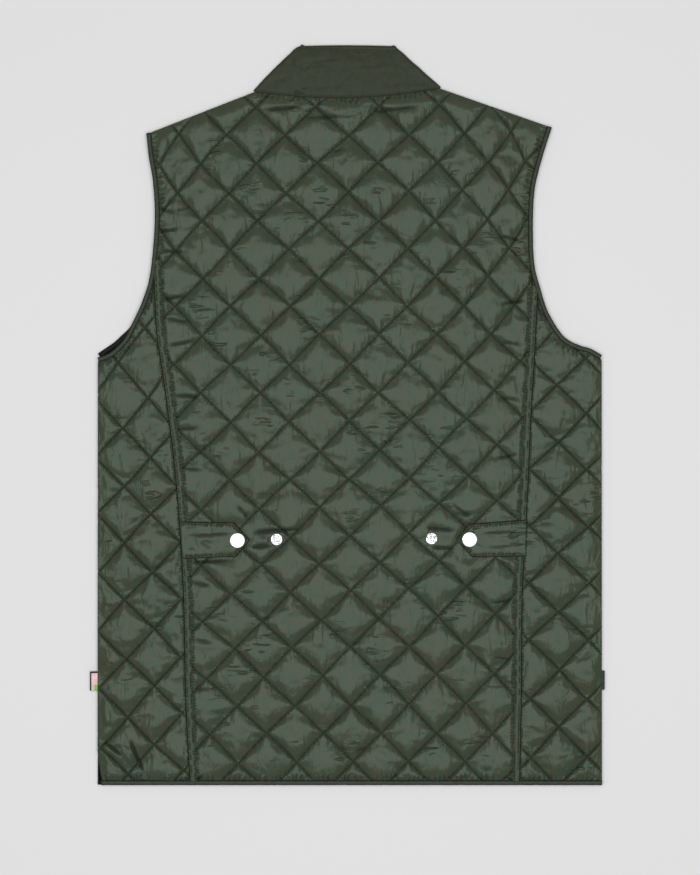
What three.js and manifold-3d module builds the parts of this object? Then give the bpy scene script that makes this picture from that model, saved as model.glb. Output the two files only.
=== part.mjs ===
// A quilted vest laid flat on its front, back side up, in millimetres.
// X runs across the vest, Y from hem to collar, Z up from the surface it lies on.
// Two plain front walls rest on the surface, the quilted back lies on them, and
// every edge carries its binding. The collar is one band, folded at both sides.
import * as THREE from 'three';
import { mergeVertices } from 'three/addons/utils/BufferGeometryUtils.js';
import Module from 'manifold-3d';

const wasm = await Module();
wasm.setup();

// Driving dimensions
const SIDE = { left: -265, right: 270.2 };
const HEM_Y = -392.7;
const SIDE_PANEL_TOP = { left: 130, right: 106 };
const GAP = 0.3; // clear space between neighbouring pieces
const FRONT_T = 3.6; // front wall, flattened by its own weight
const LAYER_GAP = 0.4; // between the fronts and the back
const BACK_Z = FRONT_T + LAYER_GAP;
const STITCH_T = 1.8; // back wall where a quilting line holds it down
const LOFT = 4.3; // how far a diamond's middle stands over its stitches
const UNEVEN = 0.16; // how much of that the flattest diamonds lack
const CELL_STEPS = [0, 0.25, 0.75]; // shares of a diamond's side
const EDGE_ROUND = 1.6;
const BINDING = { width: 5, thick: 3, round: 0.8 };
const STRIP = { width: 8, thick: 3.1, lap: 1 }; // topstitched seam allowance beside each long seam
const VENT = { top: -357, drawnIn: 4.5 }; // the unsewn foot of the left side seam
const CENTRE_FRONT = 2;
const LAP = { half: 15, under: 1.9, over: 1.4 }; // the fronts' overlap, left under right
const SNAP = { capR: 7.7, capH: 1.7, studR: 6.2, studH: 2.2 };
const FRONT_SNAP = { count: 6, r: 7.5, thick: 0.9, top: 228, bottom: -372, clear: 0.3 };

// Edges of the back, each a smooth curve through its points, from top to bottom
const ARMHOLE_LEFT = points([
  { x: -213.3, y: 299 }, { x: -210.7, y: 274.5 }, { x: -206.4, y: 249 }, { x: -204.3, y: 217 },
  { x: -205.4, y: 185.5 }, { x: -209.6, y: 147.5 }, { x: -217, y: 122 }, { x: -228.7, y: 96.5 },
  { x: -236.9, y: 81 }, { x: -248.3, y: 69 }, { x: -256.4, y: 64 }, { x: -265, y: 61 },
]);
const ARMHOLE_RIGHT = points([
  { x: 217, y: 305 }, { x: 211.2, y: 287 }, { x: 203.8, y: 262 }, { x: 198.5, y: 236.5 },
  { x: 196.9, y: 198 }, { x: 198.5, y: 160 }, { x: 204.8, y: 134.5 }, { x: 213.3, y: 109 },
  { x: 229.2, y: 84 }, { x: 245.1, y: 74.5 }, { x: 257.9, y: 70.5 }, { x: 270.2, y: 63.6 },
]);
// The left front's armhole is cut a little fuller, so its inside shows past the back's edge
const FRONT_FULLER = [
  { x: -241, y: 83.5 }, { x: -247.9, y: 77.2 }, { x: -256, y: 71.6 }, { x: -265, y: 65.5 },
];
const FRONT_ARMHOLE_LEFT = [...ARMHOLE_LEFT.slice(0, 8), ...points(FRONT_FULLER)];
const SEAM_LEFT = points([
  { x: -204.7, y: 140 }, { x: -201.9, y: 87 }, { x: -196, y: 47 }, { x: -189, y: -5 },
  { x: -184.2, y: -43 }, { x: -178.2, y: -111 }, { x: -173.6, y: -192 },
  { x: -171.1, y: -303 }, { x: -166.5, y: HEM_Y },
]);
const SEAM_RIGHT = points([
  { x: 202.2, y: 140 }, { x: 198.7, y: 68.5 }, { x: 194.7, y: 0 }, { x: 192, y: -62 },
  { x: 188.4, y: -132.5 }, { x: 185.2, y: -196 }, { x: 184.5, y: -291 }, { x: 182.6, y: HEM_Y },
]);
const NECK_FRONT = { depth: 262, pull: 0.85, rise: 5 };

// Collar: its side folds by height, from the neck seam to the top edge
const FOLD_LEFT = points([
  { x: -98, y: 343 }, { x: -83.5, y: 358 }, { x: -66.5, y: 374.6 }, { x: -59, y: 381.5 },
  { x: -53.5, y: 387.2 }, { x: -46, y: 391.2 },
]);
const FOLD_RIGHT = points([
  { x: 98, y: 346.6 }, { x: 84.2, y: 358 }, { x: 74.4, y: 366.6 }, { x: 65, y: 374.8 },
  { x: 57.8, y: 382 }, { x: 47.5, y: 391 },
]);
const COLLAR = {
  thick: 2.15, roll: 2.6, inner: 0.2, sag: 8.2, crown: 0.8, height: 57, frontLift: 8,
  bound: 0.93, rows: 6, front: 7, arc: 4, back: 10,
};

// Quilting lattice of each panel: a stitch crossing, half spacings, and the squeeze
// that brings outer crossings closer together
const LATTICE = {
  centre: { x: 3, y: 356.7, halfX: 31.5, halfY: 30.16, squeeze: 0.032 },
  left: { x: -235, y: -14.4, halfX: 28.8, halfY: 30.5, squeeze: 0 },
  right: { x: 224.4, y: 32.9, halfX: 31, halfY: 30.37, squeeze: 0 },
};
const SQUEEZE_LIMIT = 8;

// Waist tabs, each by its root on the seam, its shoulders and its tip
const TABS = {
  left: {
    root: [-176.5, -113, -174.2, -152.5], shoulder: [-119.7, -114, -117.9, -150],
    tip: [-103.6, -132.5], cap: [-116.5, -133], stud: [-75, -132],
  },
  right: {
    root: [189.6, -111, 188.7, -150], shoulder: [128.5, -115.5, 132.1, -150.5],
    tip: [115.8, -132], cap: [129.6, -132], stud: [89.4, -131],
  },
};
const TAB = { thick: 2, round: 0.5 };
const PRESS = { tab: 0.12, reach: 16, snapR: 9, snapReach: 14, seat: 0.5 };
const SIDE_LABEL = { out: 7.4, yTop: -272.5, yBottom: -292.5, low: 2.6, thick: 1.6 };
const SIDE_LOOP = { out: 2.4, yTop: -271.5, yBottom: -291.5, low: 2.4, thick: 2.4 };

// Materials
const cloth = (color, roughness) => new THREE.MeshStandardMaterial({ color, roughness, metalness: 0 });
const QUILT = cloth('#4a5144', 0.5);
const PLAIN = cloth('#43483b', 0.55);
const TRIM = cloth('#3b4036', 0.6);
const PINK = cloth('#d9b4b6', 0.8);
const NICKEL = new THREE.MeshStandardMaterial({ color: '#e8e8ea', roughness: 0.25, metalness: 1 });

const vest = new THREE.Group();

function points(rows) {
  return rows.map(({ x, y }) => new THREE.Vector2(x, y));
}

function smooth(through, perPoint = 2) {
  return new THREE.SplineCurve(through).getPoints((through.length - 1) * perPoint);
}

// A line moved sideways by distance, positive to the left of its direction
function moved(line, distance) {
  return line.map((p, i) => {
    const before = line[Math.max(0, i - 1)];
    const after = line[Math.min(line.length - 1, i + 1)];
    const along = after.clone().sub(before).normalize();
    return new THREE.Vector2(p.x - along.y * distance, p.y + along.x * distance);
  });
}

// A falling line cut off at the height y
function endedAt(line, y) {
  const kept = line.filter((p) => p.y > y + 0.5);
  const [last, next] = [kept.at(-1), line[kept.length]];
  return [...kept, last.clone().lerp(next, (y - last.y) / (next.y - last.y))];
}

// Solids, from closed three.js geometry and back
function solid(geometry) {
  const bare = geometry.clone();
  bare.deleteAttribute('normal');
  bare.deleteAttribute('uv');
  const merged = mergeVertices(bare, 1e-4);
  return new wasm.Manifold(new wasm.Mesh({
    numProp: 3,
    vertProperties: merged.attributes.position.array,
    triVerts: new Uint32Array(merged.index.array),
  }));
}

function geometryOf(manifold) {
  const mesh = manifold.getMesh();
  const geometry = new THREE.BufferGeometry();
  geometry.setAttribute('position', new THREE.BufferAttribute(mesh.vertProperties, 3));
  geometry.setIndex(new THREE.BufferAttribute(mesh.triVerts, 1));
  return geometry;
}

function add(name, shape, material) {
  const geometry = shape.isBufferGeometry ? shape : geometryOf(shape);
  geometry.computeVertexNormals();
  const mesh = new THREE.Mesh(geometry, material);
  mesh.name = name;
  vest.add(mesh);
  return mesh;
}

// Closed geometry from rings of equal length, each ring closed and both ends capped
function loft(rings) {
  const n = rings[0].length;
  const last = rings.length - 1;
  const position = rings.flat().flatMap((p) => [p.x, p.y, p.z]);
  const index = [];
  for (let i = 0; i < last; i++) {
    for (let j = 0; j < n; j++) {
      const a = i * n + j;
      const b = i * n + ((j + 1) % n);
      index.push(a, b + n, b, a, a + n, b + n);
    }
  }
  for (let j = 1; j < n - 1; j++) {
    index.push(0, j, j + 1, last * n, last * n + j + 1, last * n + j);
  }
  const geometry = new THREE.BufferGeometry();
  geometry.setAttribute('position', new THREE.Float32BufferAttribute(position, 3));
  geometry.setIndex(index);
  return geometry;
}

// A flat bar with rounded long edges along a line: low is its underside
function bar(line, width, low, thick, round) {
  const half = width / 2;
  const section = [
    [-half + round, 0], [half - round, 0], [half, round], [half, thick - round],
    [half - round, thick], [-half + round, thick], [-half, thick - round], [-half, round],
  ];
  const rings = line.map((p, i) => {
    const before = line[Math.max(0, i - 1)];
    const after = line[Math.min(line.length - 1, i + 1)];
    const along = after.clone().sub(before).normalize();
    return section.map(([side, up]) => (
      new THREE.Vector3(p.x + along.y * side, p.y - along.x * side, low + up)
    ));
  });
  return loft(rings);
}

// A prism over a closed outline, its edges rounded inwards
function prism(outline, low, high, round) {
  const geometry = new THREE.ExtrudeGeometry(new THREE.Shape(outline), {
    depth: high - low - 2 * round,
    bevelEnabled: true,
    bevelThickness: round,
    bevelSize: round,
    bevelOffset: -round,
    bevelSegments: round > 1 ? 2 : 1,
  });
  geometry.translate(0, 0, low + round);
  return solid(geometry);
}

// Where the tabs and studs press the quilting flat: 0 pressed, 1 free
function free(x, y) {
  let share = 1;
  for (const tab of Object.values(TABS)) {
    const [x0, x1] = [tab.root[0], tab.tip[0]].sort((a, b) => a - b);
    const dx = Math.max(x0 - x, x - x1, 0);
    const dy = Math.max(tab.root[3] - y, y - tab.root[1], 0);
    const stud = Math.hypot(x - tab.stud[0], y - tab.stud[1]) - PRESS.snapR;
    share = Math.min(share, Math.hypot(dx, dy) / PRESS.reach, Math.max(0, stud) / PRESS.snapReach);
  }
  return PRESS.tab + (1 - PRESS.tab) * THREE.MathUtils.smoothstep(share, 0, 1);
}

// Height of the quilted face over a stitch line, at a place in the lattice
function quiltHeight(lattice, a, b, x, y) {
  const full = Math.sin(Math.PI * CELL_STEPS[1]);
  const arch = (t) => Math.sin(Math.PI * (t - Math.floor(t))) / full;
  const chance = Math.sin(Math.floor(a) * 12.9 + Math.floor(b) * 78.2 + lattice.x) * 43758.5;
  const uneven = 1 - UNEVEN * (chance - Math.floor(chance));
  return LOFT * arch(a) * arch(b) * uneven * free(x, y);
}

// A slab whose top carries the quilting and whose plain underside is at low, over a box
function quiltedSlab(lattice, low, box) {
  const span = (box.max.x - box.min.x) / lattice.halfX + (box.max.y - box.min.y) / lattice.halfY;
  const reach = Math.ceil(span / 2) + 2;
  const middle = box.getCenter(new THREE.Vector2());
  const m = (middle.x - lattice.x) / lattice.halfX;
  const n = (lattice.y - middle.y) / lattice.halfY;
  const lines = (centre) => {
    const first = Math.round(centre) - reach;
    const cells = Array.from({ length: 2 * reach }, (_, i) => first + i);
    return [...cells.flatMap((c) => CELL_STEPS.map((s) => c + s)), first + 2 * reach];
  };
  const linesA = lines((m + n) / 2);
  const linesB = lines((m - n) / 2);
  const place = (a, b) => {
    const bound = THREE.MathUtils.clamp(a + b, -SQUEEZE_LIMIT, SQUEEZE_LIMIT);
    const x = lattice.x + lattice.halfX * (a + b) - lattice.squeeze * bound ** 3;
    return [x, lattice.y - lattice.halfY * (a - b)];
  };
  const position = [];
  for (const top of [false, true]) {
    for (const a of linesA) {
      for (const b of linesB) {
        const [x, y] = place(a, b);
        position.push(x, y, top ? BACK_Z + STITCH_T + quiltHeight(lattice, a, b, x, y) : low);
      }
    }
  }
  const cols = linesB.length;
  const layer = linesA.length * cols;
  const index = [];
  const quad = (p, q, r, s) => index.push(p, r, q, p, s, r);
  for (let i = 0; i < linesA.length - 1; i++) {
    for (let j = 0; j < cols - 1; j++) {
      const p = i * cols + j;
      quad(p, p + cols, p + cols + 1, p + 1);
      quad(layer + p, layer + p + 1, layer + p + cols + 1, layer + p + cols);
    }
    const end = i * cols + cols - 1;
    quad(i * cols, layer + i * cols, layer + (i + 1) * cols, (i + 1) * cols);
    quad(end, end + cols, layer + end + cols, layer + end);
  }
  const lastRow = (linesA.length - 1) * cols;
  for (let j = 0; j < cols - 1; j++) {
    quad(j, j + 1, layer + j + 1, layer + j);
    quad(lastRow + j, layer + lastRow + j, layer + lastRow + j + 1, lastRow + j + 1);
  }
  const geometry = new THREE.BufferGeometry();
  geometry.setAttribute('position', new THREE.Float32BufferAttribute(position, 3));
  geometry.setIndex(index);
  return solid(geometry);
}

function quiltedPanel(outline, lattice) {
  const box = new THREE.Box2().setFromPoints(outline);
  const top = BACK_Z + STITCH_T + LOFT;
  const cutter = prism(outline, BACK_Z, top + EDGE_ROUND, EDGE_ROUND);
  return quiltedSlab(lattice, 0, box).intersect(cutter);
}

// Edges that the panels share
const inside = BINDING.width + GAP;
const armholeLeft = smooth(ARMHOLE_LEFT);
const armholeRight = smooth(ARMHOLE_RIGHT);
const frontArmholeLeft = smooth(FRONT_ARMHOLE_LEFT);
const seamLeft = smooth(SEAM_LEFT);
const seamRight = smooth(SEAM_RIGHT);
const neckBack = collarBack(0, COLLAR.back).map((p) => new THREE.Vector2(p.x, p.y - GAP));
const panelFoot = HEM_Y + inside;

const above = (line, y) => line.filter((p) => p.y > y);
const below = (line, y) => line.filter((p) => p.y < y);
const turned = (line) => [...line].reverse();

// The round seat that a stud's base presses into the padding
function pressedSeat({ stud }) {
  const seat = new THREE.CylinderGeometry(SNAP.studR + GAP, SNAP.studR + GAP, LOFT, 20);
  const low = BACK_Z + STITCH_T + PRESS.seat;
  return solid(seat.rotateX(Math.PI / 2).translate(stud[0], stud[1], low + LOFT / 2));
}

const bodyOutline = [
  ...moved(armholeLeft, inside),
  new THREE.Vector2(SIDE.left, panelFoot),
  new THREE.Vector2(SIDE.right, panelFoot),
  ...turned(moved(armholeRight, -inside)),
  ...turned(neckBack),
];

function buildCentre() {
  const seamTop = SEAM_LEFT[0].y;
  const stripIn = STRIP.width - STRIP.lap;
  const left = [
    ...above(moved(armholeLeft, inside), seamTop + 4),
    ...endedAt(below(moved(seamLeft, stripIn), seamTop - 4), panelFoot),
  ];
  const right = [
    ...above(moved(armholeRight, -inside), seamTop + 4),
    ...endedAt(below(moved(seamRight, -stripIn), seamTop - 4), panelFoot),
  ];
  const outline = [...left, ...turned(right), ...turned(neckBack)];
  const body = prism(bodyOutline, BACK_Z - 1, BACK_Z + STRIP.thick + 1, 0.5);
  const strips = [[seamLeft, 1], [seamRight, -1]].map(([seam, side]) => {
    const middle = endedAt(moved(seam, side * (STRIP.width / 2 + GAP)), panelFoot);
    return solid(bar(middle, STRIP.width, BACK_Z, STRIP.thick, 0.8)).intersect(body);
  });
  // each strip laps the panel's rounded edge, which makes them one cloth
  const quilt = quiltedPanel(outline, LATTICE.centre);
  const whole = strips.reduce((sum, strip) => sum.add(strip), quilt);
  return Object.values(TABS).reduce((panel, tab) => panel.subtract(pressedSeat(tab)), whole);
}

function buildSide(side) {
  const isLeft = side === 'left';
  const [seam, armhole, sign] = isLeft
    ? [seamLeft, armholeLeft, 1]
    : [seamRight, armholeRight, -1];
  const edge = SIDE[side];
  const cut = moved(armhole, sign * inside);
  const top = SIDE_PANEL_TOP[side];
  const sideLine = isLeft
    ? points([{ x: edge, y: VENT.top }, { x: edge + VENT.drawnIn, y: panelFoot }])
    : points([{ x: edge, y: panelFoot }]);
  const cutIn = below(cut, top).filter((p) => Math.abs(p.x) < Math.abs(edge) - 0.5);
  const outline = [
    ...endedAt(below(seam, top - 8), panelFoot),
    ...turned(sideLine),
    new THREE.Vector2(edge, cutIn.at(-1).y - 0.5),
    ...turned(cutIn),
  ];
  return quiltedPanel(outline, LATTICE[side]);
}

function buildFront(side) {
  const isLeft = side === 'left';
  const sign = isLeft ? 1 : -1;
  const armhole = moved(isLeft ? frontArmholeLeft : armholeRight, sign * inside);
  const neck = moved(collarFront(side, 0), -sign * 1.5 * GAP);
  const edge = SIDE[side];
  const lapSide = CENTRE_FRONT + LAP.half;
  // the wall up to the overlap, then the thinner lap itself
  const body = [...armhole, new THREE.Vector2(edge, panelFoot)];
  const bodyEnd = isLeft ? CENTRE_FRONT - LAP.half - GAP : lapSide + GAP;
  const neckOut = neck.filter((p) => (p.x - bodyEnd) * sign < 0);
  const neckAt = (x) => neck.reduce((a, b) => (Math.abs(b.x - x) < Math.abs(a.x - x) ? b : a)).y;
  body.push(new THREE.Vector2(bodyEnd, panelFoot));
  body.push(new THREE.Vector2(bodyEnd, neckAt(bodyEnd) - 1), ...turned(neckOut));
  const wall = prism(body, 0, FRONT_T, 0.7);
  const lapFrom = bodyEnd - sign * 1.5;
  const lapTo = isLeft ? lapSide : CENTRE_FRONT - LAP.half;
  const lapTop = NECK_FRONT.depth - 1.5;
  const lapShape = points([
    { x: lapFrom, y: panelFoot }, { x: lapTo, y: panelFoot },
    { x: lapTo, y: lapTop }, { x: lapFrom, y: lapTop },
  ]);
  const [low, high] = isLeft ? [0, LAP.under] : [FRONT_T - LAP.over, FRONT_T];
  return wall.add(prism(lapShape, low, high, 0.4));
}

// The collar's line across the back at share t of its height
function collarBack(t, steps) {
  const from = new THREE.SplineCurve(FOLD_LEFT).getPoint(t);
  const to = new THREE.SplineCurve(FOLD_RIGHT).getPoint(t);
  return Array.from({ length: steps + 1 }, (_, k) => {
    const share = k / steps;
    const bow = 4 * share * (1 - share) * THREE.MathUtils.lerp(COLLAR.sag, -COLLAR.crown, t);
    const p = from.clone().lerp(to, share);
    return new THREE.Vector2(p.x, p.y - bow);
  });
}

// The collar's line from a side fold down to the centre front
function collarFront(side, t) {
  const [fold, sign] = side === 'left' ? [FOLD_LEFT, -1] : [FOLD_RIGHT, 1];
  const start = new THREE.SplineCurve(fold).getPoint(t);
  const end = new THREE.Vector2(CENTRE_FRONT + sign * GAP, NECK_FRONT.depth + COLLAR.height * t);
  const lift = NECK_FRONT.rise + COLLAR.frontLift * t;
  const pull = new THREE.Vector2(start.x * NECK_FRONT.pull, end.y + lift);
  return new THREE.QuadraticBezierCurve(start, pull, end).getPoints(COLLAR.front);
}

// The collar's wall at share t of its height; each point is [outer, inner]
function collarSection(t, thick) {
  const left = new THREE.SplineCurve(FOLD_LEFT);
  const right = new THREE.SplineCurve(FOLD_RIGHT);
  const section = [];
  const radius = thick + COLLAR.inner;
  const z = COLLAR.roll;
  const flat = (x, y, up) => {
    section.push([
      new THREE.Vector3(x, y, z + up * radius),
      new THREE.Vector3(x, y, z + up * COLLAR.inner),
    ]);
  };
  const arc = (fold, sign, from) => {
    const p = fold.getPoint(t);
    const along = fold.getTangent(Math.min(t, 0.98));
    const out = new THREE.Vector2(sign * Math.abs(along.y), Math.abs(along.x));
    for (let k = 1; k < COLLAR.arc; k++) {
      const angle = from * Math.PI * (0.5 - k / COLLAR.arc);
      section.push([radius, COLLAR.inner].map((r) => new THREE.Vector3(
        p.x + out.x * r * Math.cos(angle), p.y + out.y * r * Math.cos(angle),
        z + r * Math.sin(angle),
      )));
    }
  };
  turned(collarFront('left', t)).forEach((p) => flat(p.x, p.y, -1));
  arc(left, -1, -1);
  collarBack(t, COLLAR.back).forEach((p) => flat(p.x, p.y, 1));
  arc(right, 1, 1);
  collarFront('right', t).forEach((p) => flat(p.x, p.y, -1));
  return section;
}

function collarBand(from, to, rows, thick) {
  const rings = [];
  for (let i = 0; i <= rows; i++) {
    const section = collarSection(from + ((to - from) * i) / rows, thick);
    rings.push([...section.map(([, inner]) => inner), ...turned(section).map(([outer]) => outer)]);
  }
  return loft(rings);
}

// The lofted caps of a folded band must follow the band, so they are quads between its faces
function closeBand(geometry, ringLength) {
  const kept = Array.from(geometry.index.array);
  const half = ringLength / 2;
  const rings = geometry.attributes.position.count / ringLength;
  kept.length = (rings - 1) * ringLength * 6;
  for (const [start, forward] of [[0, true], [(rings - 1) * ringLength, false]]) {
    for (let j = 0; j < half - 1; j++) {
      const [a, b] = [start + j, start + j + 1];
      const [c, d] = [start + ringLength - 2 - j, start + ringLength - 1 - j];
      kept.push(...(forward ? [a, b, c, a, c, d] : [a, c, b, a, d, c]));
    }
  }
  geometry.setIndex(kept);
  return geometry;
}

function buildCollar(name, from, to, rows, thick, material) {
  const ringLength = 2 * collarSection(0, thick).length;
  add(name, closeBand(collarBand(from, to, rows, thick), ringLength), material);
}

function tabOutline({ root, shoulder, tip }) {
  return points([
    { x: root[0], y: root[1] }, { x: shoulder[0], y: shoulder[1] }, { x: tip[0], y: tip[1] },
    { x: shoulder[2], y: shoulder[3] }, { x: root[2], y: root[3] },
  ]);
}

function disc(profile, [x, y], z) {
  const rows = profile.map(([r, h]) => new THREE.Vector2(r, h));
  return new THREE.LatheGeometry(rows, 20).rotateX(Math.PI / 2).translate(x, y, z);
}

function capProfile(r, h) {
  return [[0, 0], [r - 0.6, 0], [r, 0.5], [r - 0.5, h * 0.7], [r * 0.6, h * 0.96], [0, h]];
}

function studProfile(r, h) {
  return [[0, 0], [r - 0.4, 0], [r, 0.4], [r - 0.5, 0.9], [r * 0.5, 0.9], [r * 0.44, h], [0, h]];
}

// Panels
const centre = buildCentre();
add('back_centre', centre, QUILT);
for (const side of ['left', 'right']) {
  add(`back_side_${side}`, buildSide(side), QUILT);
}
let frontLeft = buildFront('left');
const snapStep = (FRONT_SNAP.top - FRONT_SNAP.bottom) / (FRONT_SNAP.count - 1);
const frontSnaps = Array.from({ length: FRONT_SNAP.count }, (_, i) => (
  [CENTRE_FRONT, FRONT_SNAP.top - i * snapStep]
));
for (const [x, y] of frontSnaps) {
  const r = FRONT_SNAP.r + FRONT_SNAP.clear;
  const pocket = new THREE.CylinderGeometry(r, r, 2 * (FRONT_SNAP.thick + FRONT_SNAP.clear), 20);
  frontLeft = frontLeft.subtract(solid(pocket.rotateX(Math.PI / 2).translate(x, y, 0)));
}
add('front_left', frontLeft, QUILT);
add('front_right', buildFront('right'), QUILT);

// Bindings
const half = BINDING.width / 2;
const bound = (line, sign) => moved(line, sign * half);
const backTape = (line) => bar(line, BINDING.width, BACK_Z, BINDING.thick, BINDING.round);
const frontTape = (line) => bar(line, BINDING.width, 0, FRONT_T, BINDING.round);
const hemLine = (x0, x1) => points([{ x: x0, y: HEM_Y + half }, { x: x1, y: HEM_Y + half }]);
const lapEnd = CENTRE_FRONT + LAP.half;
const bindings = {
  armhole_binding_left: backTape(bound(armholeLeft, 1)),
  armhole_binding_right: backTape(bound(armholeRight, -1)),
  front_armhole_binding_left: frontTape(bound(frontArmholeLeft, 1)),
  front_armhole_binding_right: frontTape(bound(armholeRight, -1)),
  hem_binding_back: backTape(hemLine(SIDE.left + VENT.drawnIn, SIDE.right)),
  hem_binding_front_left: frontTape(hemLine(SIDE.left, lapEnd)),
  hem_binding_front_right: frontTape(hemLine(lapEnd + GAP, SIDE.right)),
};
Object.entries(bindings).forEach(([name, geometry]) => add(name, geometry, TRIM));

// Collar and its bound top edge
buildCollar('collar', 0, COLLAR.bound, COLLAR.rows, COLLAR.thick, PLAIN);
buildCollar('collar_binding', COLLAR.bound + 0.006, 1, 1, COLLAR.roll - COLLAR.inner, TRIM);

// Tabs and snaps
for (const [side, tab] of Object.entries(TABS)) {
  const tabLow = BACK_Z + STRIP.thick + GAP;
  const tabTop = tabLow + TAB.thick;
  add(`waist_tab_${side}`, prism(tabOutline(tab), tabLow, tabTop, TAB.round), PLAIN);
  add(`snap_cap_${side}`, disc(capProfile(SNAP.capR, SNAP.capH), tab.cap, tabTop + GAP), NICKEL);
  const studLow = BACK_Z + STITCH_T + PRESS.seat + GAP;
  const stud = disc(studProfile(SNAP.studR, SNAP.studH), tab.stud, studLow);
  add(`snap_stud_${side}`, stud, NICKEL);
}
frontSnaps.forEach((place, i) => {
  const { r, thick } = FRONT_SNAP;
  const plate = new THREE.CylinderGeometry(r, r, thick, 20).rotateX(Math.PI / 2);
  add(`front_snap_${i + 1}`, plate.translate(...place, thick / 2), NICKEL);
});

// What is sewn into the side seams
function sideTag(edge, out, { yTop, yBottom, low, thick }) {
  const sign = Math.sign(edge);
  const [x0, x1] = [edge + sign * GAP, edge + sign * (GAP + out)].sort((a, b) => a - b);
  const shape = points([
    { x: x0, y: yBottom }, { x: x1, y: yBottom }, { x: x1, y: yTop }, { x: x0, y: yTop },
  ]);
  return prism(shape, low, low + thick, 0.3);
}
add('side_label', sideTag(SIDE.left, SIDE_LABEL.out, SIDE_LABEL), PINK);
add('side_loop', sideTag(SIDE.right, SIDE_LOOP.out, SIDE_LOOP), TRIM);

export default vest;
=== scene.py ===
# %% [markdown]
# # A quilted vest, laid flat with its back up
# This lesson dresses a plain model of a padded, diamond-quilted vest. The plain model says
# where everything is. Each cell makes one real piece or finish: the padded panels, the tapes
# that bind their edges, the collar, the waist tabs with their snaps, and the thread.

# %% Load the plain model and keep its box
import math
import random

import bmesh
import bpy
import numpy as np
from mathutils import Matrix, Vector, noise
from mathutils.bvhtree import BVHTree
from mathutils.kdtree import KDTree


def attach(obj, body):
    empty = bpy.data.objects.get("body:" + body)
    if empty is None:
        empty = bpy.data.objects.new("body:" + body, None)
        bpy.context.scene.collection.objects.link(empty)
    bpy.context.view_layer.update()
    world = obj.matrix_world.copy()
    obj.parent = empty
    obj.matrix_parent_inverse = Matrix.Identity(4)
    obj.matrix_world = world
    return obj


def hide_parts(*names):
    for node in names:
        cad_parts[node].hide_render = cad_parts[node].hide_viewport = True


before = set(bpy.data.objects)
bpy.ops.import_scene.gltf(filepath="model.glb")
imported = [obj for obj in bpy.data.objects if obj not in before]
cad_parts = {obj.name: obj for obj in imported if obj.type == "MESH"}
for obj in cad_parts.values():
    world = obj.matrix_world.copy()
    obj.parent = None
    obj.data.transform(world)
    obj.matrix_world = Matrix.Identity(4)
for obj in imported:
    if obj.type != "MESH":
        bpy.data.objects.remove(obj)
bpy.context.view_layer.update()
scene = bpy.context.scene
MM = 0.001
print("nodes", len(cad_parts))

# %% [markdown]
# The photograph is taken from straight above with a long lens, so the camera hangs high over
# the vest. One pixel of the picture is 1.06 mm on the cloth, which sets the lens.

# %% Camera
MM_PER_PX = 1.06
MIDDLE_PX = (347.3, 415.0)  # the pixel over the model's own origin


def at(px, py):
    """The place on the cloth, in millimetres, under a pixel of the picture."""
    return np.array([(px - MIDDLE_PX[0]) * MM_PER_PX, (MIDDLE_PX[1] - py) * MM_PER_PX])


PICTURE_PX = (700, 875)
CAMERA_HEIGHT = 2.6
CLOTH_HEIGHT = 0.008
SENSOR_MM = 36
camera = bpy.data.objects.new("camera", bpy.data.cameras.new("camera"))
scene.collection.objects.link(camera)
scene.camera = camera
camera.location = (*at(PICTURE_PX[0] / 2, PICTURE_PX[1] / 2) * MM, CAMERA_HEIGHT)
camera.data.sensor_width = SENSOR_MM
camera.data.lens = SENSOR_MM * (CAMERA_HEIGHT - CLOTH_HEIGHT) / (PICTURE_PX[1] * MM_PER_PX * MM)
camera.data.clip_end = 20
print("lens", round(camera.data.lens, 1), "mm")

# %% [markdown]
# Taffeta shows a light tone where it mirrors the lamp and a dark one where it tilts away, and
# the change between them is quick. So the light is one big soft box high over the waist and an
# even pale room. The floor is matt and pale.

# %% Light, room and floor
scene.view_settings.view_transform = "Standard"


def linear(hex_colour):
    """A colour written as sRGB hex, turned to the linear values that shaders use."""
    parts = [int(hex_colour[i:i + 2], 16) / 255 for i in (1, 3, 5)]
    return [c / 12.92 if c <= 0.04045 else ((c + 0.055) / 1.055) ** 2.4 for c in parts] + [1.0]


world = bpy.data.worlds.new("pale room")
scene.world = world
world.use_nodes = True
room_light = world.node_tree.nodes["Background"]
room_light.inputs["Color"].default_value = (1, 1, 1, 1)
room_light.inputs["Strength"].default_value = 0.3

lamp = bpy.data.lights.new("soft box", "AREA")
lamp.shape = "RECTANGLE"
lamp.size = 3.4
lamp.size_y = 2.45
lamp.energy = 117
soft_box = bpy.data.objects.new("soft box", lamp)
soft_box.location = (0.0, -0.1, 3.2)
scene.collection.objects.link(soft_box)
print("soft box", lamp.size, "by", lamp.size_y, "m,", lamp.energy, "W")

# %% [markdown]
# A material is built from shader nodes. One small function adds a node, sets its settings
# and joins its inputs, and every material below is made with it.

# %% The node helper and the floor
TIMES, TIMES_PLUS = {"operation": "MULTIPLY"}, {"operation": "MULTIPLY_ADD"}
SMOOTH = {"interpolation_type": "SMOOTHSTEP"}  # a soft change from one level to another


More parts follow.
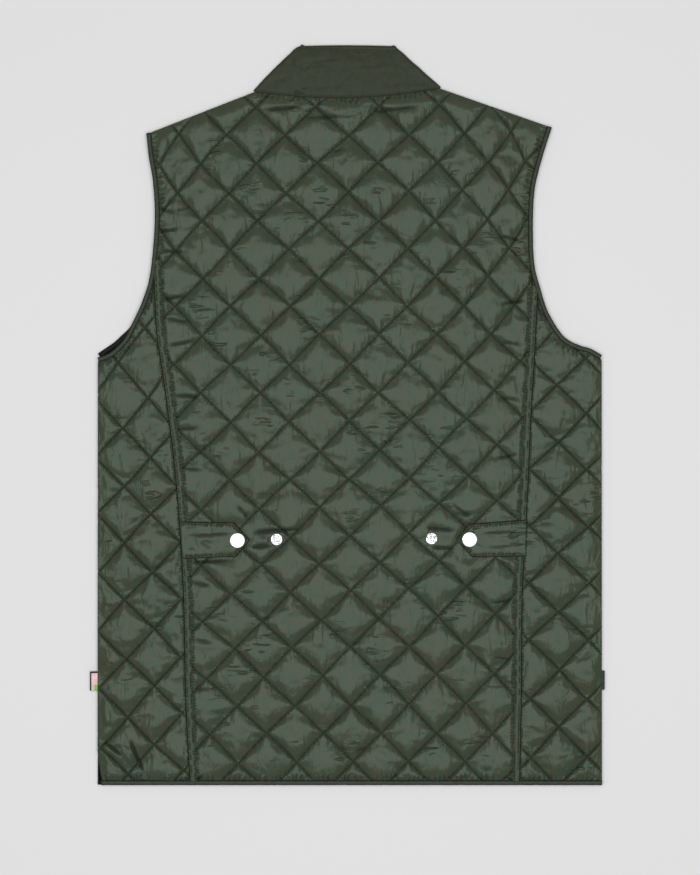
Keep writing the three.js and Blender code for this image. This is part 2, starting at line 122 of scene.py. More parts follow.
def add_node(tree, kind, settings, *values, stops=(), output=0, **inputs):
    """Add a node and give one of its outputs. An input is a value or another node's output: the
    first ones come in their order, others by name or number. A ramp's stops are places and colours."""
    made = tree.nodes.new("ShaderNode" + kind)
    for name, value in settings.items():
        setattr(made, name, value)
    for number, value in enumerate(values):
        inputs[f"_{number}"] = value
    for name, value in inputs.items():
        socket = made.inputs[int(name[1:])] if name[0] == "_" else made.inputs[name.replace("_", " ")]
        if isinstance(value, bpy.types.NodeSocket):
            tree.links.new(value, socket)
        else:
            socket.default_value = value
    if stops:
        marks = made.color_ramp.elements
        for mark, (place, colour) in zip(marks, (stops[0], stops[-1])):
            mark.position, mark.color = place, linear(colour)
        for place, colour in stops[1:-1]:
            marks.new(place).color = linear(colour)
    return made.outputs[output]


def new_material(name, **surface):
    """A material with one principled shader, its even values set on the shader's sockets."""
    made = bpy.data.materials.new(name)
    made.use_nodes = True
    tree = made.node_tree
    shader = tree.nodes["Principled BSDF"]
    for socket, value in surface.items():
        shader.inputs[socket.replace("_", " ")].default_value = value
    return made, tree, shader


floor_bm = bmesh.new()
bmesh.ops.create_grid(floor_bm, x_segments=2, y_segments=2, size=4)
bmesh.ops.translate(floor_bm, vec=(0, 0, -0.2 * MM), verts=floor_bm.verts)  # just clear of the cloth
floor_mesh = bpy.data.meshes.new("floor")
floor_bm.to_mesh(floor_mesh)
floor_bm.free()
floor = bpy.data.objects.new("floor", floor_mesh)
scene.collection.objects.link(floor)
floor_finish, _, _ = new_material("matt paper", Roughness=1.0, Base_Color=linear("#d1d1d1"),
                                  Specular_IOR_Level=0.0)
floor_mesh.materials.append(floor_finish)
print("floor", floor_finish.name)

# %% [markdown]
# The shell is polyester taffeta: a tight plain weave of bright filament, dyed dark olive.
# Its threads lie 0.12 mm apart, far finer than the picture shows, so the weave is drawn at
# 1.1 mm and faint. The dye looks a little browner or greener from place to place, and the
# filament's gloss comes from a low roughness with a weak sheen. Three UV maps steer the rest:
# "quilt" counts the stitch lines, "sewn" holds the distance along and from a sewn edge, and
# "fold" says how deep in a crease a place lies.

# %% Taffeta, tape, lining, thread, label and metal
DIAMOND_SIDE = 43.5  # mm along a stitch line from one crossing to the next
STITCH_PITCH = 3.3  # mm, one lockstitch


def ripples(tree, along, away, shift, pitch, reach, deep, shade, normal, rare=0.15, dark=0.3):
    """Puckers square to a sewn line, shaded in their valleys; they fade away from it. Lengths in mm."""
    steps = [add_node(tree, "Math", {"operation": "DIVIDE"}, *pair)
             for pair in ((along, 2.5 * pitch), (away, reach))]
    place = add_node(tree, "CombineXYZ", {}, *steps, shift)
    uneven = add_node(tree, "TexNoise", {}, Vector=place, Scale=1.0, Detail=1.0)
    turn = add_node(tree, "Math", TIMES_PLUS, along, 2 * math.pi / pitch,
                    add_node(tree, "Math", TIMES, uneven, 14.0))
    near = add_node(tree, "MapRange", SMOOTH, away, 0.2 * reach, reach, 1.0, 0.0)
    patchy = add_node(tree, "Math", TIMES, uneven, near)
    strong = add_node(tree, "MapRange", SMOOTH, patchy, rare, 0.6, 0.0, 1.0)
    height = add_node(tree, "Math", TIMES, add_node(tree, "Math", {"operation": "SINE"}, turn), strong)
    valleys = add_node(tree, "MapRange", SMOOTH, height, -0.75, -0.1, 1.0 - dark, 1.0)
    raised = add_node(tree, "Bump", {}, Strength=1.0, Distance=deep * MM, Height=height, Normal=normal)
    return add_node(tree, "Math", TIMES, shade, valleys), raised


def stitch_lines(tree, shade, normal):
    """The cloth beside each line of quilting, by the panel's own net: a shaded groove and puckers."""
    net = add_node(tree, "SeparateXYZ", {}, add_node(tree, "UVMap", {"uv_map": "quilt"})).node.outputs
    wrapped = [add_node(tree, "Math", {"operation": "WRAP"}, number, 0.5, -0.5) for number in net[:2]]
    gaps = [add_node(tree, "Math", {"operation": "ABSOLUTE"}, number) for number in wrapped]
    nearer = add_node(tree, "Math", {"operation": "LESS_THAN"}, *gaps)
    along = add_node(tree, "Mix", {}, nearer, _2=net[0], _3=net[1])
    line = add_node(tree, "Mix", {}, nearer, _2=net[1], _3=net[0])
    gap = add_node(tree, "Math", {"operation": "MINIMUM"}, *gaps)
    away = add_node(tree, "Math", TIMES, gap, DIAMOND_SIDE)
    number = add_node(tree, "Math", TIMES, add_node(tree, "Math", {"operation": "ROUND"}, line), 3.7)
    along_mm = add_node(tree, "Math", TIMES, along, DIAMOND_SIDE)
    groove = add_node(tree, "Math", TIMES, shade,
                      add_node(tree, "MapRange", SMOOTH, away, 0.3, 1.2, 0.5, 1.0))
    return ripples(tree, along_mm, away, number, STITCH_PITCH, 4.5, 0.2, groove, normal, dark=0.25)


def crumples(tree, place, creased, normal):
    """Slack upright waves, and short flat creases in a few patches, on the cloth's own place."""
    upright = add_node(tree, "Mapping", {}, Vector=place, Scale=(100.0, 36.0, 36.0))
    slack = add_node(tree, "TexNoise", {}, Vector=upright, Scale=1.0, Detail=2.0, Distortion=0.4)
    normal = add_node(tree, "Bump", {}, Strength=1.0, Distance=1.9 * MM, Height=slack, Normal=normal)
    flat = add_node(tree, "Mapping", {}, Vector=place, Scale=(48.0, 190.0, 48.0))
    streaks = add_node(tree, "TexNoise", {}, Vector=flat, Scale=1.0, Detail=1.0, Distortion=0.5)
    where = add_node(tree, "TexNoise", {}, Vector=place, Scale=30.0, Detail=1.0)
    height = add_node(tree, "Math", TIMES, add_node(tree, "MapRange", SMOOTH, streaks, 0.56, 0.8, 0.0, 1.0),
                      add_node(tree, "MapRange", SMOOTH, where, 0.57, 0.67, 0.0, 1.0))
    return add_node(tree, "Bump", {}, Strength=1.0, Distance=creased * MM, Height=height, Normal=normal)


def cloth_material(name, stops, roughness, weave_mm=1.1, weave=0.05, crumple=0.45, gloss=0.15, creased=0.0,
                   quilted=False, sewn=0.0, reach=9.0, edge_shade=0.0, folds=False):
    """Woven cloth: mottled dye, a faint weave, crumples and creases, and puckers where it is sewn.
    Where little light gets in, the cloth is shaded: darker, and duller than its glossy threads are."""
    made, tree, shader = new_material(name, Roughness=roughness, Sheen_Weight=0.02, Sheen_Roughness=0.4,
                                      Specular_IOR_Level=gloss, Specular_Tint=(0.8, 1.0, 0.88, 1.0))
    place = add_node(tree, "TexCoord", {}, output="Object")
    dye = add_node(tree, "TexNoise", {}, Vector=place, Scale=150.0, Detail=3.0, Roughness=0.6)
    patches = add_node(tree, "TexNoise", {}, Vector=place, Scale=14.0, Detail=2.0)
    blend = add_node(tree, "Math", TIMES_PLUS, patches, 0.3, dye)
    blend = add_node(tree, "Math", {"operation": "SUBTRACT"}, blend, 0.15)
    colour = add_node(tree, "ValToRGB", {}, blend, stops=stops)
    rib = 2 * math.pi / (weave_mm * MM) / 20  # the wave texture has 20 radians to a unit of scale
    woven = [add_node(tree, "TexWave", {"bands_direction": way}, Vector=place, Scale=rib, Distortion=0.6,
                      Detail=1.0, output="Fac") for way in ("X", "Y")]
    normal = add_node(tree, "Bump", {}, Strength=weave, Distance=0.1 * MM,
                      Height=add_node(tree, "Math", {"operation": "ADD"}, *woven))
    small = add_node(tree, "TexNoise", {}, Vector=place, Scale=210.0, Detail=2.0, Roughness=0.5)
    normal = add_node(tree, "Bump", {}, Strength=crumple, Distance=0.5 * MM, Height=small, Normal=normal)
    if creased:
        normal = crumples(tree, place, creased, normal)
    shade = 1.0
    if folds:
        fold = add_node(tree, "SeparateXYZ", {}, add_node(tree, "UVMap", {"uv_map": "fold"}))
        shade = add_node(tree, "MapRange", SMOOTH, fold, 0.0, 1.0, 1.0, 0.35)
    if quilted:
        shade, normal = stitch_lines(tree, shade, normal)
    if sewn:
        sewn_at = add_node(tree, "UVMap", {"uv_map": "sewn"})
        along, away, _ = add_node(tree, "SeparateXYZ", {}, sewn_at).node.outputs
        # Painted shade: the cloth is darker within a millimetre or two of a sewn edge, where it turns down
        # and little light reaches it.
        if edge_shade:
            edge = add_node(tree, "MapRange", SMOOTH, away, 0.2, edge_shade, 0.45, 1.0)
            shade = add_node(tree, "Math", TIMES, shade, edge)
        pitch, rare = (STITCH_PITCH, 0.15) if edge_shade else (5.6, 0.24)
        shade, normal = ripples(tree, along, away, 0.0, pitch, reach, sewn, shade, normal, rare)
        colour = add_node(tree, "VectorMath", {"operation": "SCALE"}, colour, Scale=shade)
        duller = add_node(tree, "Math", TIMES_PLUS, shade, -0.5, roughness + 0.5)
        tree.links.new(duller, shader.inputs["Roughness"])
    tree.links.new(colour, shader.inputs["Base Color"])
    tree.links.new(normal, shader.inputs["Normal"])
    return made


# Calendered taffeta: flat glossy filaments, so its tone flips between light and dark as it bends.
OLIVE = [(0.3, "#3f3e31"), (0.5, "#383f31"), (0.7, "#314034")]
taffeta = cloth_material("olive polyester taffeta", OLIVE, 0.26, creased=2.4, sewn=0.55, reach=8.0,
                         edge_shade=1.7, folds=True)
quilted_taffeta = cloth_material("quilted olive taffeta", OLIVE, 0.25, creased=1.8, quilted=True, sewn=0.55,
                                 reach=12.0, folds=True)
# Three layers pressed hard under the topstitching: flatter and duller than the panels.
strip_cloth = cloth_material("olive taffeta seam strip", OLIVE, 0.3, gloss=0.1, creased=1.0, sewn=0.2,
                             reach=5.0, edge_shade=0.9)
# The collar's cloth is a browner, matt taffeta, the tape a woven one folded in half.
collar_cloth = cloth_material("collar taffeta", [(0.3, "#302f26"), (0.5, "#313428"), (0.7, "#31362c")], 0.4,
                              gloss=0.07, creased=1.0)
tape_cloth = cloth_material("folded binding tape", [(0.3, "#2f3027"), (0.5, "#31352b"), (0.7, "#33372f")],
                            0.38, crumple=0.4, gloss=0.11, sewn=0.08, reach=3.0, edge_shade=1.2)
# Drawn near black: the inside of the fronts and the upper side of their tapes.
lining = cloth_material("near-black lining", [(0.3, "#0b0c0b"), (0.7, "#121311")], 0.5, gloss=0.08)
# Spun polyester thread scatters light, so it is darker and rougher than the shell.
thread = cloth_material("olive sewing thread", [(0.3, "#1c1f18"), (0.7, "#262b20")], 0.5, weave_mm=0.8,
                        weave=0.2)
# The label is a damask ribbon, matt and coarse beside the taffeta.
label_pink = cloth_material("pink woven label", [(0.3, "#cfa3a8"), (0.7, "#e2c0c3")], 0.8, weave_mm=0.6,
                            weave=0.3)
label_dark = cloth_material("dark label edge", [(0.3, "#1d1d1f"), (0.7, "#2c2d2e")], 0.7)
label_green = cloth_material("green label corner", [(0.3, "#6fae3c"), (0.7, "#86c14f")], 0.8)


def metal(name, roughness, grain, stops):
    """Plated metal with a fine uneven grain."""
    made, tree, shader = new_material(name, Metallic=1.0, Roughness=roughness)
    place = add_node(tree, "TexCoord", {}, output="Object")
    uneven = add_node(tree, "TexNoise", {}, Vector=place, Scale=grain, Detail=2.0)
    rough = add_node(tree, "Bump", {}, Strength=0.08, Distance=0.05 * MM, Height=uneven)
    tree.links.new(add_node(tree, "ValToRGB", {}, uneven, stops=stops), shader.inputs["Base Color"])
    tree.links.new(rough, shader.inputs["Normal"])
    return made


# Bright nickel plate on brass: a soft mirror on the caps, rubbed darker where the studs are pressed.
nickel = metal("polished nickel snap", 0.38, 900.0, [(0.35, "#e4e4e8"), (0.65, "#f6f6f9")])
worn_nickel = metal("worn nickel stud", 0.42, 480.0,
                    [(0.36, "#66666a"), (0.46, "#b4b4b8"), (0.6, "#dcdce0")])
print("materials", len(bpy.data.materials))

# %% [markdown]
# The cut lines come from the pattern: the armholes, the two long seams and the neck. Each is a
# smooth line through a few measured points, in millimetres. A second line beside it, such as
# a tape's middle, is the same line moved sideways.

# %% Lines of the pattern
HEM_Y = -392.7
SIDE_LEFT, SIDE_RIGHT = -265.0, 270.2
ARMHOLE_LEFT = [(-213.3, 299), (-210.7, 274.5), (-206.4, 249), (-204.3, 217), (-205.4, 185.5),
                (-209.6, 147.5), (-217, 122), (-228.7, 96.5), (-236.9, 81), (-248.3, 69),
                (-256.4, 64), (-265, 61)]
ARMHOLE_RIGHT = [(217, 305), (211.2, 287), (203.8, 262), (198.5, 236.5), (196.9, 198),
                 (198.5, 160), (204.8, 134.5), (213.3, 109), (229.2, 84), (245.1, 74.5),
                 (257.9, 70.5), (270.2, 63.6)]
FRONT_ARMHOLE_LEFT = ARMHOLE_LEFT[:8] + [(-241, 83.5), (-247.9, 77.2), (-256, 71.6), (-265, 65.5)]
SEAM_LEFT = [(-205.6, 165), (-204.7, 140), (-201.9, 87), (-196, 47), (-189, -5), (-184.2, -43),
             (-178.2, -111), (-173.6, -192), (-171.1, -303), (-166.5, HEM_Y)]
SEAM_RIGHT = [(203.4, 165), (202.2, 140), (198.7, 68.5), (194.7, 0), (192, -62), (188.4, -132.5),
              (185.2, -196), (184.5, -291), (182.6, HEM_Y)]


def line_through(points, step=2.0):
    """A smooth line through the points, with a point about every step millimetres."""
    p = np.array(points, float)
    p = np.vstack([2 * p[0] - p[1], p, 2 * p[-1] - p[-2]])
    parts = []
    for a, b, c, d in zip(p, p[1:], p[2:], p[3:]):
        count = max(1, round(np.linalg.norm(c - b) / step))
        t = (np.arange(count) / count)[:, None]
        square, cube = 2 * a - 5 * b + 4 * c - d, 3 * b - a - 3 * c + d
        parts.append(b + 0.5 * t * ((c - a) + t * (square + t * cube)))
    return np.vstack(parts + [p[-2:-1]])


def direction(line):
    """The direction of a line at each of its points, one millimetre long."""
    along = np.gradient(line, axis=0)
    return along / np.linalg.norm(along, axis=1)[:, None]


def beside(line, distance):
    """The line moved sideways, to the left of its direction where distance is positive."""
    along = direction(line)
    return line + distance * np.column_stack([-along[:, 1], along[:, 0]])


def reach_along(line):
    """How far along a line each of its points is."""
    return np.concatenate([[0], np.cumsum(np.linalg.norm(np.diff(line, axis=0), axis=1))])


def above(line, y):
    """The part of a line that is higher up the picture than y."""
    return line[line[:, 1] > y]


def cut_at(line, y):
    """A falling line cut off at the height y."""
    kept = line[line[:, 1] > y + 0.2]
    below = line[len(kept)]
    share = (y - kept[-1][1]) / (below[1] - kept[-1][1])
    return np.vstack([kept, kept[-1] + share * (below - kept[-1])])


armhole_left, armhole_right = line_through(ARMHOLE_LEFT), line_through(ARMHOLE_RIGHT)
front_armhole_left = line_through(FRONT_ARMHOLE_LEFT)
seam_left, seam_right = line_through(SEAM_LEFT), line_through(SEAM_RIGHT)
print("armholes", len(armhole_left), len(armhole_right), "seams", len(seam_left), len(seam_right))

# %% [markdown]
# The collar is one band that goes round the neck and folds over at both sides. Its fold lines
# rise from the neck seam to the top edge. Across the back it runs straight from fold to fold,
# sagging a little at the seam, and in front it curves down to the centre.

# %% Lines of the collar
FOLD_LEFT = [(-98, 343), (-83.5, 358), (-66.5, 374.6), (-59, 381.5), (-53.5, 387.2), (-46, 391.2)]
FOLD_RIGHT = [(98, 346.6), (84.2, 358), (74.4, 366.6), (65, 374.8), (57.8, 382), (47.5, 391)]
CENTRE_FRONT = 2.0
NECK_DEPTH = 262.0
# mm: the wall, its roll at the folds, the gap inside it, how far its back seam sags and its top
# edge rises, its height, and how far its front corners lift, rise and are pulled in
COLLAR = {"thick": 2.15, "roll": 2.6, "inner": 0.2, "sag": 8.2, "crown": 0.8, "height": 57,
          "front_lift": 8.0, "rise": 5.0, "pull": 0.85}


def knotted(points):
    """A smooth line and the row at which it passes each measured point."""
    line = line_through(points, 0.5)
    return line, [int(np.argmin(np.linalg.norm(line - np.array(p), axis=1))) for p in points]


fold_left, fold_right = knotted(FOLD_LEFT), knotted(FOLD_RIGHT)


def at_share(fold, t):
    """The place at share t up a fold line, with equal shares between its measured points."""
    line, knots = fold
    row = np.interp(t * (len(knots) - 1), range(len(knots)), knots)
    rows = np.arange(len(line))
    return np.array([np.interp(row, rows, line[:, 0]), np.interp(row, rows, line[:, 1])])


def collar_back(t, share):
    """The collar's line across the back at share t of its height."""
    start, end = at_share(fold_left, t), at_share(fold_right, t)
    bow = 4 * share * (1 - share) * ((1 - t) * COLLAR["sag"] - t * COLLAR["crown"])
    return start + (end - start) * share - np.array([0, bow])


def collar_front(fold, sign, t, share):
    """The collar's line from a side fold down to the centre front."""
    start = at_share(fold, t)
    end = np.array([CENTRE_FRONT + 0.3 * sign, NECK_DEPTH + COLLAR["height"] * t])
    pull = np.array([start[0] * COLLAR["pull"], end[1] + COLLAR["rise"] + COLLAR["front_lift"] * t])
    return (1 - share) ** 2 * start + 2 * share * (1 - share) * pull + share ** 2 * end


neck_back = np.array([collar_back(0, k / 100) for k in range(101)])
front_neck_left = np.array([collar_front(fold_left, -1, 0, k / 80) for k in range(81)])
front_neck_right = np.array([collar_front(fold_right, 1, 0, k / 80) for k in range(81)])
print("neck seam", round(reach_along(neck_back)[-1]), "mm across the back")

# %% [markdown]
# The quilting is a net of diamonds. Two numbers name a place in it: each counts the stitch
# lines of one slant, so a whole number means a stitch line. The net isn't quite even, because
# the cloth was pulled as it was sewn, so short tables say where its crossings lie.

# %% The quilting net
NETS = {
    "centre": {
        # rows: y, the net's middle there, half the crossing spacing, how much it tightens outwards
        # drift: y, then how far the net is pulled across and up at each of the marks
        "rows": [(268, 1.2, 33.0, 0.108), (85, 2.5, 31.3, 0.028), (-338, 4.85, 30.1, 0.0)],
        "heights": [(-4, 477.3), (0, 356.7), (28, -487.8)],
        "marks": (-180, 0, 180),
        "drift": [
            (310, -6.7, 1.3, -0.7, 1.0, -2.3, 3.9), (250, -6.1, 0.2, -0.6, 0.8, -6.1, 3.5),
            (190, -5.4, -0.6, -0.4, 0.1, -7.9, 2.6), (130, -4.9, -0.7, -0.2, 0.1, -6.4, 1.7),
            (70, -5.5, -1.3, -0.3, -0.2, -2.8, 1.5), (10, -7.0, -2.1, -0.8, -1.2, 0.9, 2.7),
            (-50, -8.9, -3.3, -0.9, -2.4, 3.3, 5.0), (-110, -9.8, -4.0, -1.0, -2.2, 3.9, 7.2),
            (-170, -9.1, -4.1, -1.2, -0.9, 2.6, 7.4), (-230, -6.9, -3.6, -1.2, 0.1, 0.9, 5.2),
            (-290, -3.6, -3.2, -0.4, -0.1, -0.8, 1.6), (-390, 0.3, -2.8, 1.3, -1.2, -2.2, -2.7),
        ],
    },
    "left": {
        "rows": [(60, -239, 29.0, 0.0), (-14, -235.3, 28.6, 0.0), (-390, -234.8, 28.6, 0.0)],
        "heights": [(-6, 204), (-4, 132), (-2, 56.6), (-1, 20.5), (0, -14.4), (1, -45), (15, -472)],
        "marks": (-250, -195),
        "drift": [(50, -3.2, -0.5, -5.2, -2.3), (-30, -2.9, 0.3, -2.8, -0.8), (-110, -2.3, 0.6, -0.8, 0.6),
                  (-190, -1.5, 0.3, 0.6, 1.4), (-270, 0.2, -0.9, 1.4, 1.7), (-390, 2.2, -2.7, 3.1, 1.7)],
    },
    "right": {
        "rows": [(60, 224.4, 31, 0.0), (-390, 224.4, 31, 0.0)],
        "heights": [(-6, 215.0), (0, 32.9), (16, -452.9)],
        "marks": (205, 258),
        "drift": [(50, -1.4, -1.9, -3.6, -1.9), (-30, -1.0, -0.1, -1.6, -0.6), (-110, -0.7, 1.6, 0.1, 0.8),
                  (-190, -0.4, 2.0, 0.7, 1.4), (-270, -0.1, 0.8, 0.0, 0.7), (-390, 0.5, -1.3, -1.0, -0.7)],
    },
}


def net_place(net, a, b):
    """Where the net's numbers a and b lie, in millimetres; works on arrays."""
    rows = np.array(net["rows"])[::-1]
    heights = np.array(net["heights"])
    across, down = a + b, a - b
    y = np.interp(down, heights[:, 0], heights[:, 1])
    middle, half, tighten = (np.interp(y, rows[:, 0], rows[:, k]) for k in (1, 2, 3))
    x = middle + half * across - tighten * np.clip(across, -7, 7) ** 3
    drift = np.array(net["drift"])[::-1]
    marks = np.array(net["marks"], float)
    held = np.clip(x, marks[0] - 20, marks[-1] + 20)
    move = np.zeros((2, *np.shape(x)))
    for k, mark in enumerate(marks):
        weight = np.prod([(held - other) / (mark - other) for other in marks if other != mark], axis=0)
        for axis in (0, 1):
            move[axis] += weight * np.interp(y, drift[:, 0], drift[:, 1 + 2 * k + axis])
    wobble = 0.8 * np.sin(2.9 * a + 1.3 * b), 0.8 * np.sin(1.7 * a - 2.6 * b + 1)  # a hand's unevenness
    return x + move[0] + wobble[0], y + move[1] + wobble[1]


def inside(outline, x, y):
    """Which places lie inside a closed outline."""
    found = np.zeros(x.shape, bool)
    for (x0, y0), (x1, y1) in zip(outline, np.roll(outline, -1, axis=0)):
        if y0 != y1:
            crosses = (y0 > y) != (y1 > y)
            found ^= crosses & (x < x0 + (y - y0) * (x1 - x0) / (y1 - y0))
    return found


def nearest(line, x, y, with_reach=False):
    """Each place's distance to a line and the nearest place on it, to a quarter millimetre.
    With with_reach, the second is how far along the line that place is."""
    reach = reach_along(line)
    marks = np.linspace(0, reach[-1], int(reach[-1] / 0.5) + 2)
    dots = np.column_stack([np.interp(marks, reach, line[:, 0]), np.interp(marks, reach, line[:, 1])])
    tree = KDTree(len(dots))
    for i, (dot_x, dot_y) in enumerate(dots):
        tree.insert((dot_x, dot_y, 0), i)
    tree.balance()
    found = [tree.find((px, py, 0))[1:] for px, py in zip(x, y)]
    gap, rows = np.array([gap for _, gap in found]), [i for i, _ in found]
    return (gap, marks[rows]) if with_reach else (gap, dots[rows])


def write_uv(mesh, name, values):
    """Give each corner of a mesh its point's pair of values, as a UV map."""
    layer = mesh.loops.layers.uv.new(name)
    mesh.verts.index_update()
    for face in mesh.faces:
        for loop in face.loops:
            loop[layer].uv = values[loop.vert.index]


TIGHTER = (1.75, 2.4)  # how much finer and shorter the puckers of a tight line are
NEXT_LINE = 1800  # mm added from line to line, so that no two lines have the same puckers


def sewn_map(mesh, lines, scale=1.0, tight=()):
    """A UV map of the nearest sewn line: how far along it a place is, and how far from it, in mm.
    The numbers grow faster at a tight line, whose puckers are therefore finer and shorter."""
    places = np.array([v.co[:2] for v in mesh.verts]) / scale
    best, owner = np.full((len(places), 2), 1e6), np.zeros(len(places))
    for number, line in enumerate(lines):
        gap, along = nearest(line, places[:, 0], places[:, 1], True)
        closer = gap < best[:, 1]
        best[closer] = np.column_stack([along, gap])[closer]
        owner[closer] = number
    is_tight = np.isin(owner, tight)[:, None]
    best = best * np.where(is_tight, TIGHTER, (1.0, 1.0)) + np.column_stack([NEXT_LINE * owner, 0 * owner])
    write_uv(mesh, "sewn", best)


print("nets", {name: len(net["drift"]) for name, net in NETS.items()}, "rows of drift")


# %% [markdown]
# Some places hold the padding down besides the stitches: the flat strips along the long seams,
# the cloth under the waist tabs, and the seats of the snaps. They are given here once, because
# both the padding and the thread need them.

# %% Tabs, snaps and what presses the padding
BACK_Z = 4.0
STITCH_Z = BACK_Z + 1.5
STRIP_WIDTH = 8.0
TABS = {  # the middles of the cap and the stud, and the corners from the upper root round the tip
    "left": {"cap": (-116.5, -133), "stud": (-75, -132), "corners": [
        (-176.5, -113), (-119.7, -114), (-103.6, -132.5), (-117.9, -150), (-174.2, -152.5)]},
    "right": {"cap": (129.6, -132), "stud": (89.4, -131), "corners": [
        (189.6, -111), (128.5, -115.5), (115.8, -132), (132.1, -150.5), (188.7, -150)]},
}
STUD_SEAT = 7.0
UNDER_TAB = (6.4, 0.55)  # the height that a tab presses the padding to, and how fast it rises beside it
UNDER_STUD = (6.2, 0.5)


def closed(outline):
    """An outline with its first point again at the end."""
    return np.vstack([outline, outline[:1]])


def pressed(x, y):
    """The height that something holds the padding to, or a large number where it is free."""
    limit = np.full(len(x), 99.0)
    for tab in TABS.values():
        corners = np.array(tab["corners"], float)
        gap, _ = nearest(closed(corners), x, y)
        gap[inside(corners, x, y)] = 0
        limit = np.minimum(limit, UNDER_TAB[0] + UNDER_TAB[1] * gap)
        seat = np.hypot(x - tab["stud"][0], y - tab["stud"][1]) - STUD_SEAT
        limit = np.minimum(limit, UNDER_STUD[0] + UNDER_STUD[1] * np.maximum(seat, 0))
    return limit


print("mm from cap to stud", [round(math.dist(tab["cap"], tab["stud"]), 1) for tab in TABS.values()])


# %% [markdown]
# A quilted panel starts as a grid whose lines follow the stitching, so that a stitch line is a
# true line of the mesh. The grid is laid over the net, and what lies outside the panel's
# outline is taken away. Its last points are drawn onto the outline itself.

# %% The quilted sheet
def gathered(t):
    """Draw the mesh lines between two stitch lines toward them, where the cloth bends most."""
    return t - 0.5 * np.sin(2 * np.pi * t) / (2 * np.pi)


def quilted_sheet(net, outline, steps):
    """A flat mesh on the net, cut to the outline, with the net's numbers as its UV map."""
    rows = np.array(net["rows"])
    across = (outline[:, 0] - rows[:, 1].mean()) / rows[:, 2].min()
    heights = np.array(net["heights"])
    down = np.interp(-outline[:, 1], -heights[:, 1], heights[:, 0])
    ends = [(math.floor(t.min()) - 1, math.ceil(t.max()) + 1)
            for t in ((across + down) / 2, (across - down) / 2)]
    counts = [(high - low) * steps for low, high in ends]
    bm = bmesh.new()
    bmesh.ops.create_grid(bm, x_segments=counts[0], y_segments=counts[1], size=0.5)
    flat = np.array([v.co[:2] for v in bm.verts]) + 0.5
    a, b = (gathered(np.round((low + flat[:, k] * (high - low)) * steps) / steps)
            for k, (low, high) in enumerate(ends))
    a, b = (np.where(np.abs(t - np.round(t)) < 1e-6, np.round(t), t) for t in (a, b))
    x, y = net_place(net, a, b)
    is_in = inside(outline, x, y)
    _, foot = nearest(closed(outline), x, y)
    number = bm.verts.layers.int.new("number")
    uv = bm.loops.layers.uv.new("quilt")
    for i, v in enumerate(bm.verts):
        v[number] = i
    for face in bm.faces:
        for loop in face.loops:
            loop[uv].uv = (a[loop.vert[number]], b[loop.vert[number]])
    gone = [f for f in bm.faces if not any(is_in[v[number]] for v in f.verts)]
    bmesh.ops.delete(bm, geom=gone, context="FACES")
    bmesh.ops.delete(bm, geom=[v for v in bm.verts if not v.link_faces], context="VERTS")
    crease = bm.edges.layers.float.new("crease_edge")
    for e in bm.edges:
        i, j = e.verts[0][number], e.verts[1][number]
        if (a[i] == a[j] and a[i] % 1 == 0) or (b[i] == b[j] and b[i] % 1 == 0):
            e[crease] = 0.85
    for v in bm.verts:
        i = v[number]
        v.co = (*(foot[i] if not is_in[i] else (x[i], y[i])), 0.0)
    bmesh.ops.remove_doubles(bm, verts=bm.verts, dist=0.6)
    kept = [v[number] for v in bm.verts]
    bm.normal_update()
    if sum(f.normal.z for f in bm.faces) < 0:
        bmesh.ops.reverse_faces(bm, faces=bm.faces)
    return bm, a[kept], b[kept]


def swelling(a, b):
    """An even swelling of the diamonds: 0 on their stitches, 1 in their middles."""
    return np.abs(np.sin(np.pi * a) * np.sin(np.pi * b))


def folded(a, b):
    """A diamond of stiff cloth: near-flat facets inside steep narrow sides, no two alike.
    Six numbers from 0 to 1, worked out from the diamond's place, make it differ from the others."""
    i, j = np.floor(a), np.floor(b)
    full, roof_share, shift, lean, tilt, wide = (np.sin(i * 12.99 + j * 78.23 + k * 37.72) * 43758.55 % 1
                                                 for k in range(6))
    p, q = a - i - 0.5, b - j - 0.5
    sides = 1.0
    for gap, width in ((0.5 - p, 2.0 + 3.4 * wide), (0.5 + p, 0.9),
                       (0.5 - q, 0.9 + 0.9 * lean), (0.5 + q, 1.0 + 1.5 * tilt)):
        sides = np.minimum(sides, 1 - np.exp(-(np.maximum(gap, 0) * DIAMOND_SIDE / width) ** 2))
    p, q = p - (0.2 * lean + 0.02) * (1 - 4 * p ** 2), q - (0.2 * tilt - 0.15) * (1 - 4 * q ** 2)
    across, up = p + q, q - p
    ridge = 0.7 * (shift - 0.5) * (1 - np.abs(across))
    roof = (1 - np.sqrt((up - ridge) ** 2 + 0.0064)) * (1 - 0.7 * across ** 2) + 0.3 * (wide - 0.5) * up
    pyramid = (1 - (2 * np.abs(p)) ** 1.8) * (1 - (2 * np.abs(q)) ** 1.8)
    share = 0.4 + 0.6 * roof_share
    return (0.75 + 0.5 * full) * sides * (0.3 + 0.7 * (share * np.maximum(roof, 0) + (1 - share) * pyramid))


# %% [markdown]
# Wadding pushes the shell up between the stitches, and the shell is a little longer than the
# space it is sewn to, which gives the puckers. Both are what Blender's cloth simulation does:
# the sheet starts out larger, most of all from hem to collar, its stitch lines are drawn in to
# their true places, and pressure fills the diamonds, so its wrinkles run across the body.

# %% Filling the diamonds
EXCESS = (1.006, 1.022)  # how much larger the shell is cut, across and along the body
FRAMES, DRAWN_IN = 18, 9  # the simulation's length, and when the stitches are in their places
CLOTH = {"quality": 5, "mass": 0.03, "tension_stiffness": 20, "compression_stiffness": 20,
         "shear_stiffness": 5, "bending_stiffness": 0.01,
         "use_pressure": True, "uniform_pressure_force": 60}


def evaluated(obj):
    """The object as its modifiers leave it."""
    return obj.evaluated_get(bpy.context.evaluated_depsgraph_get())


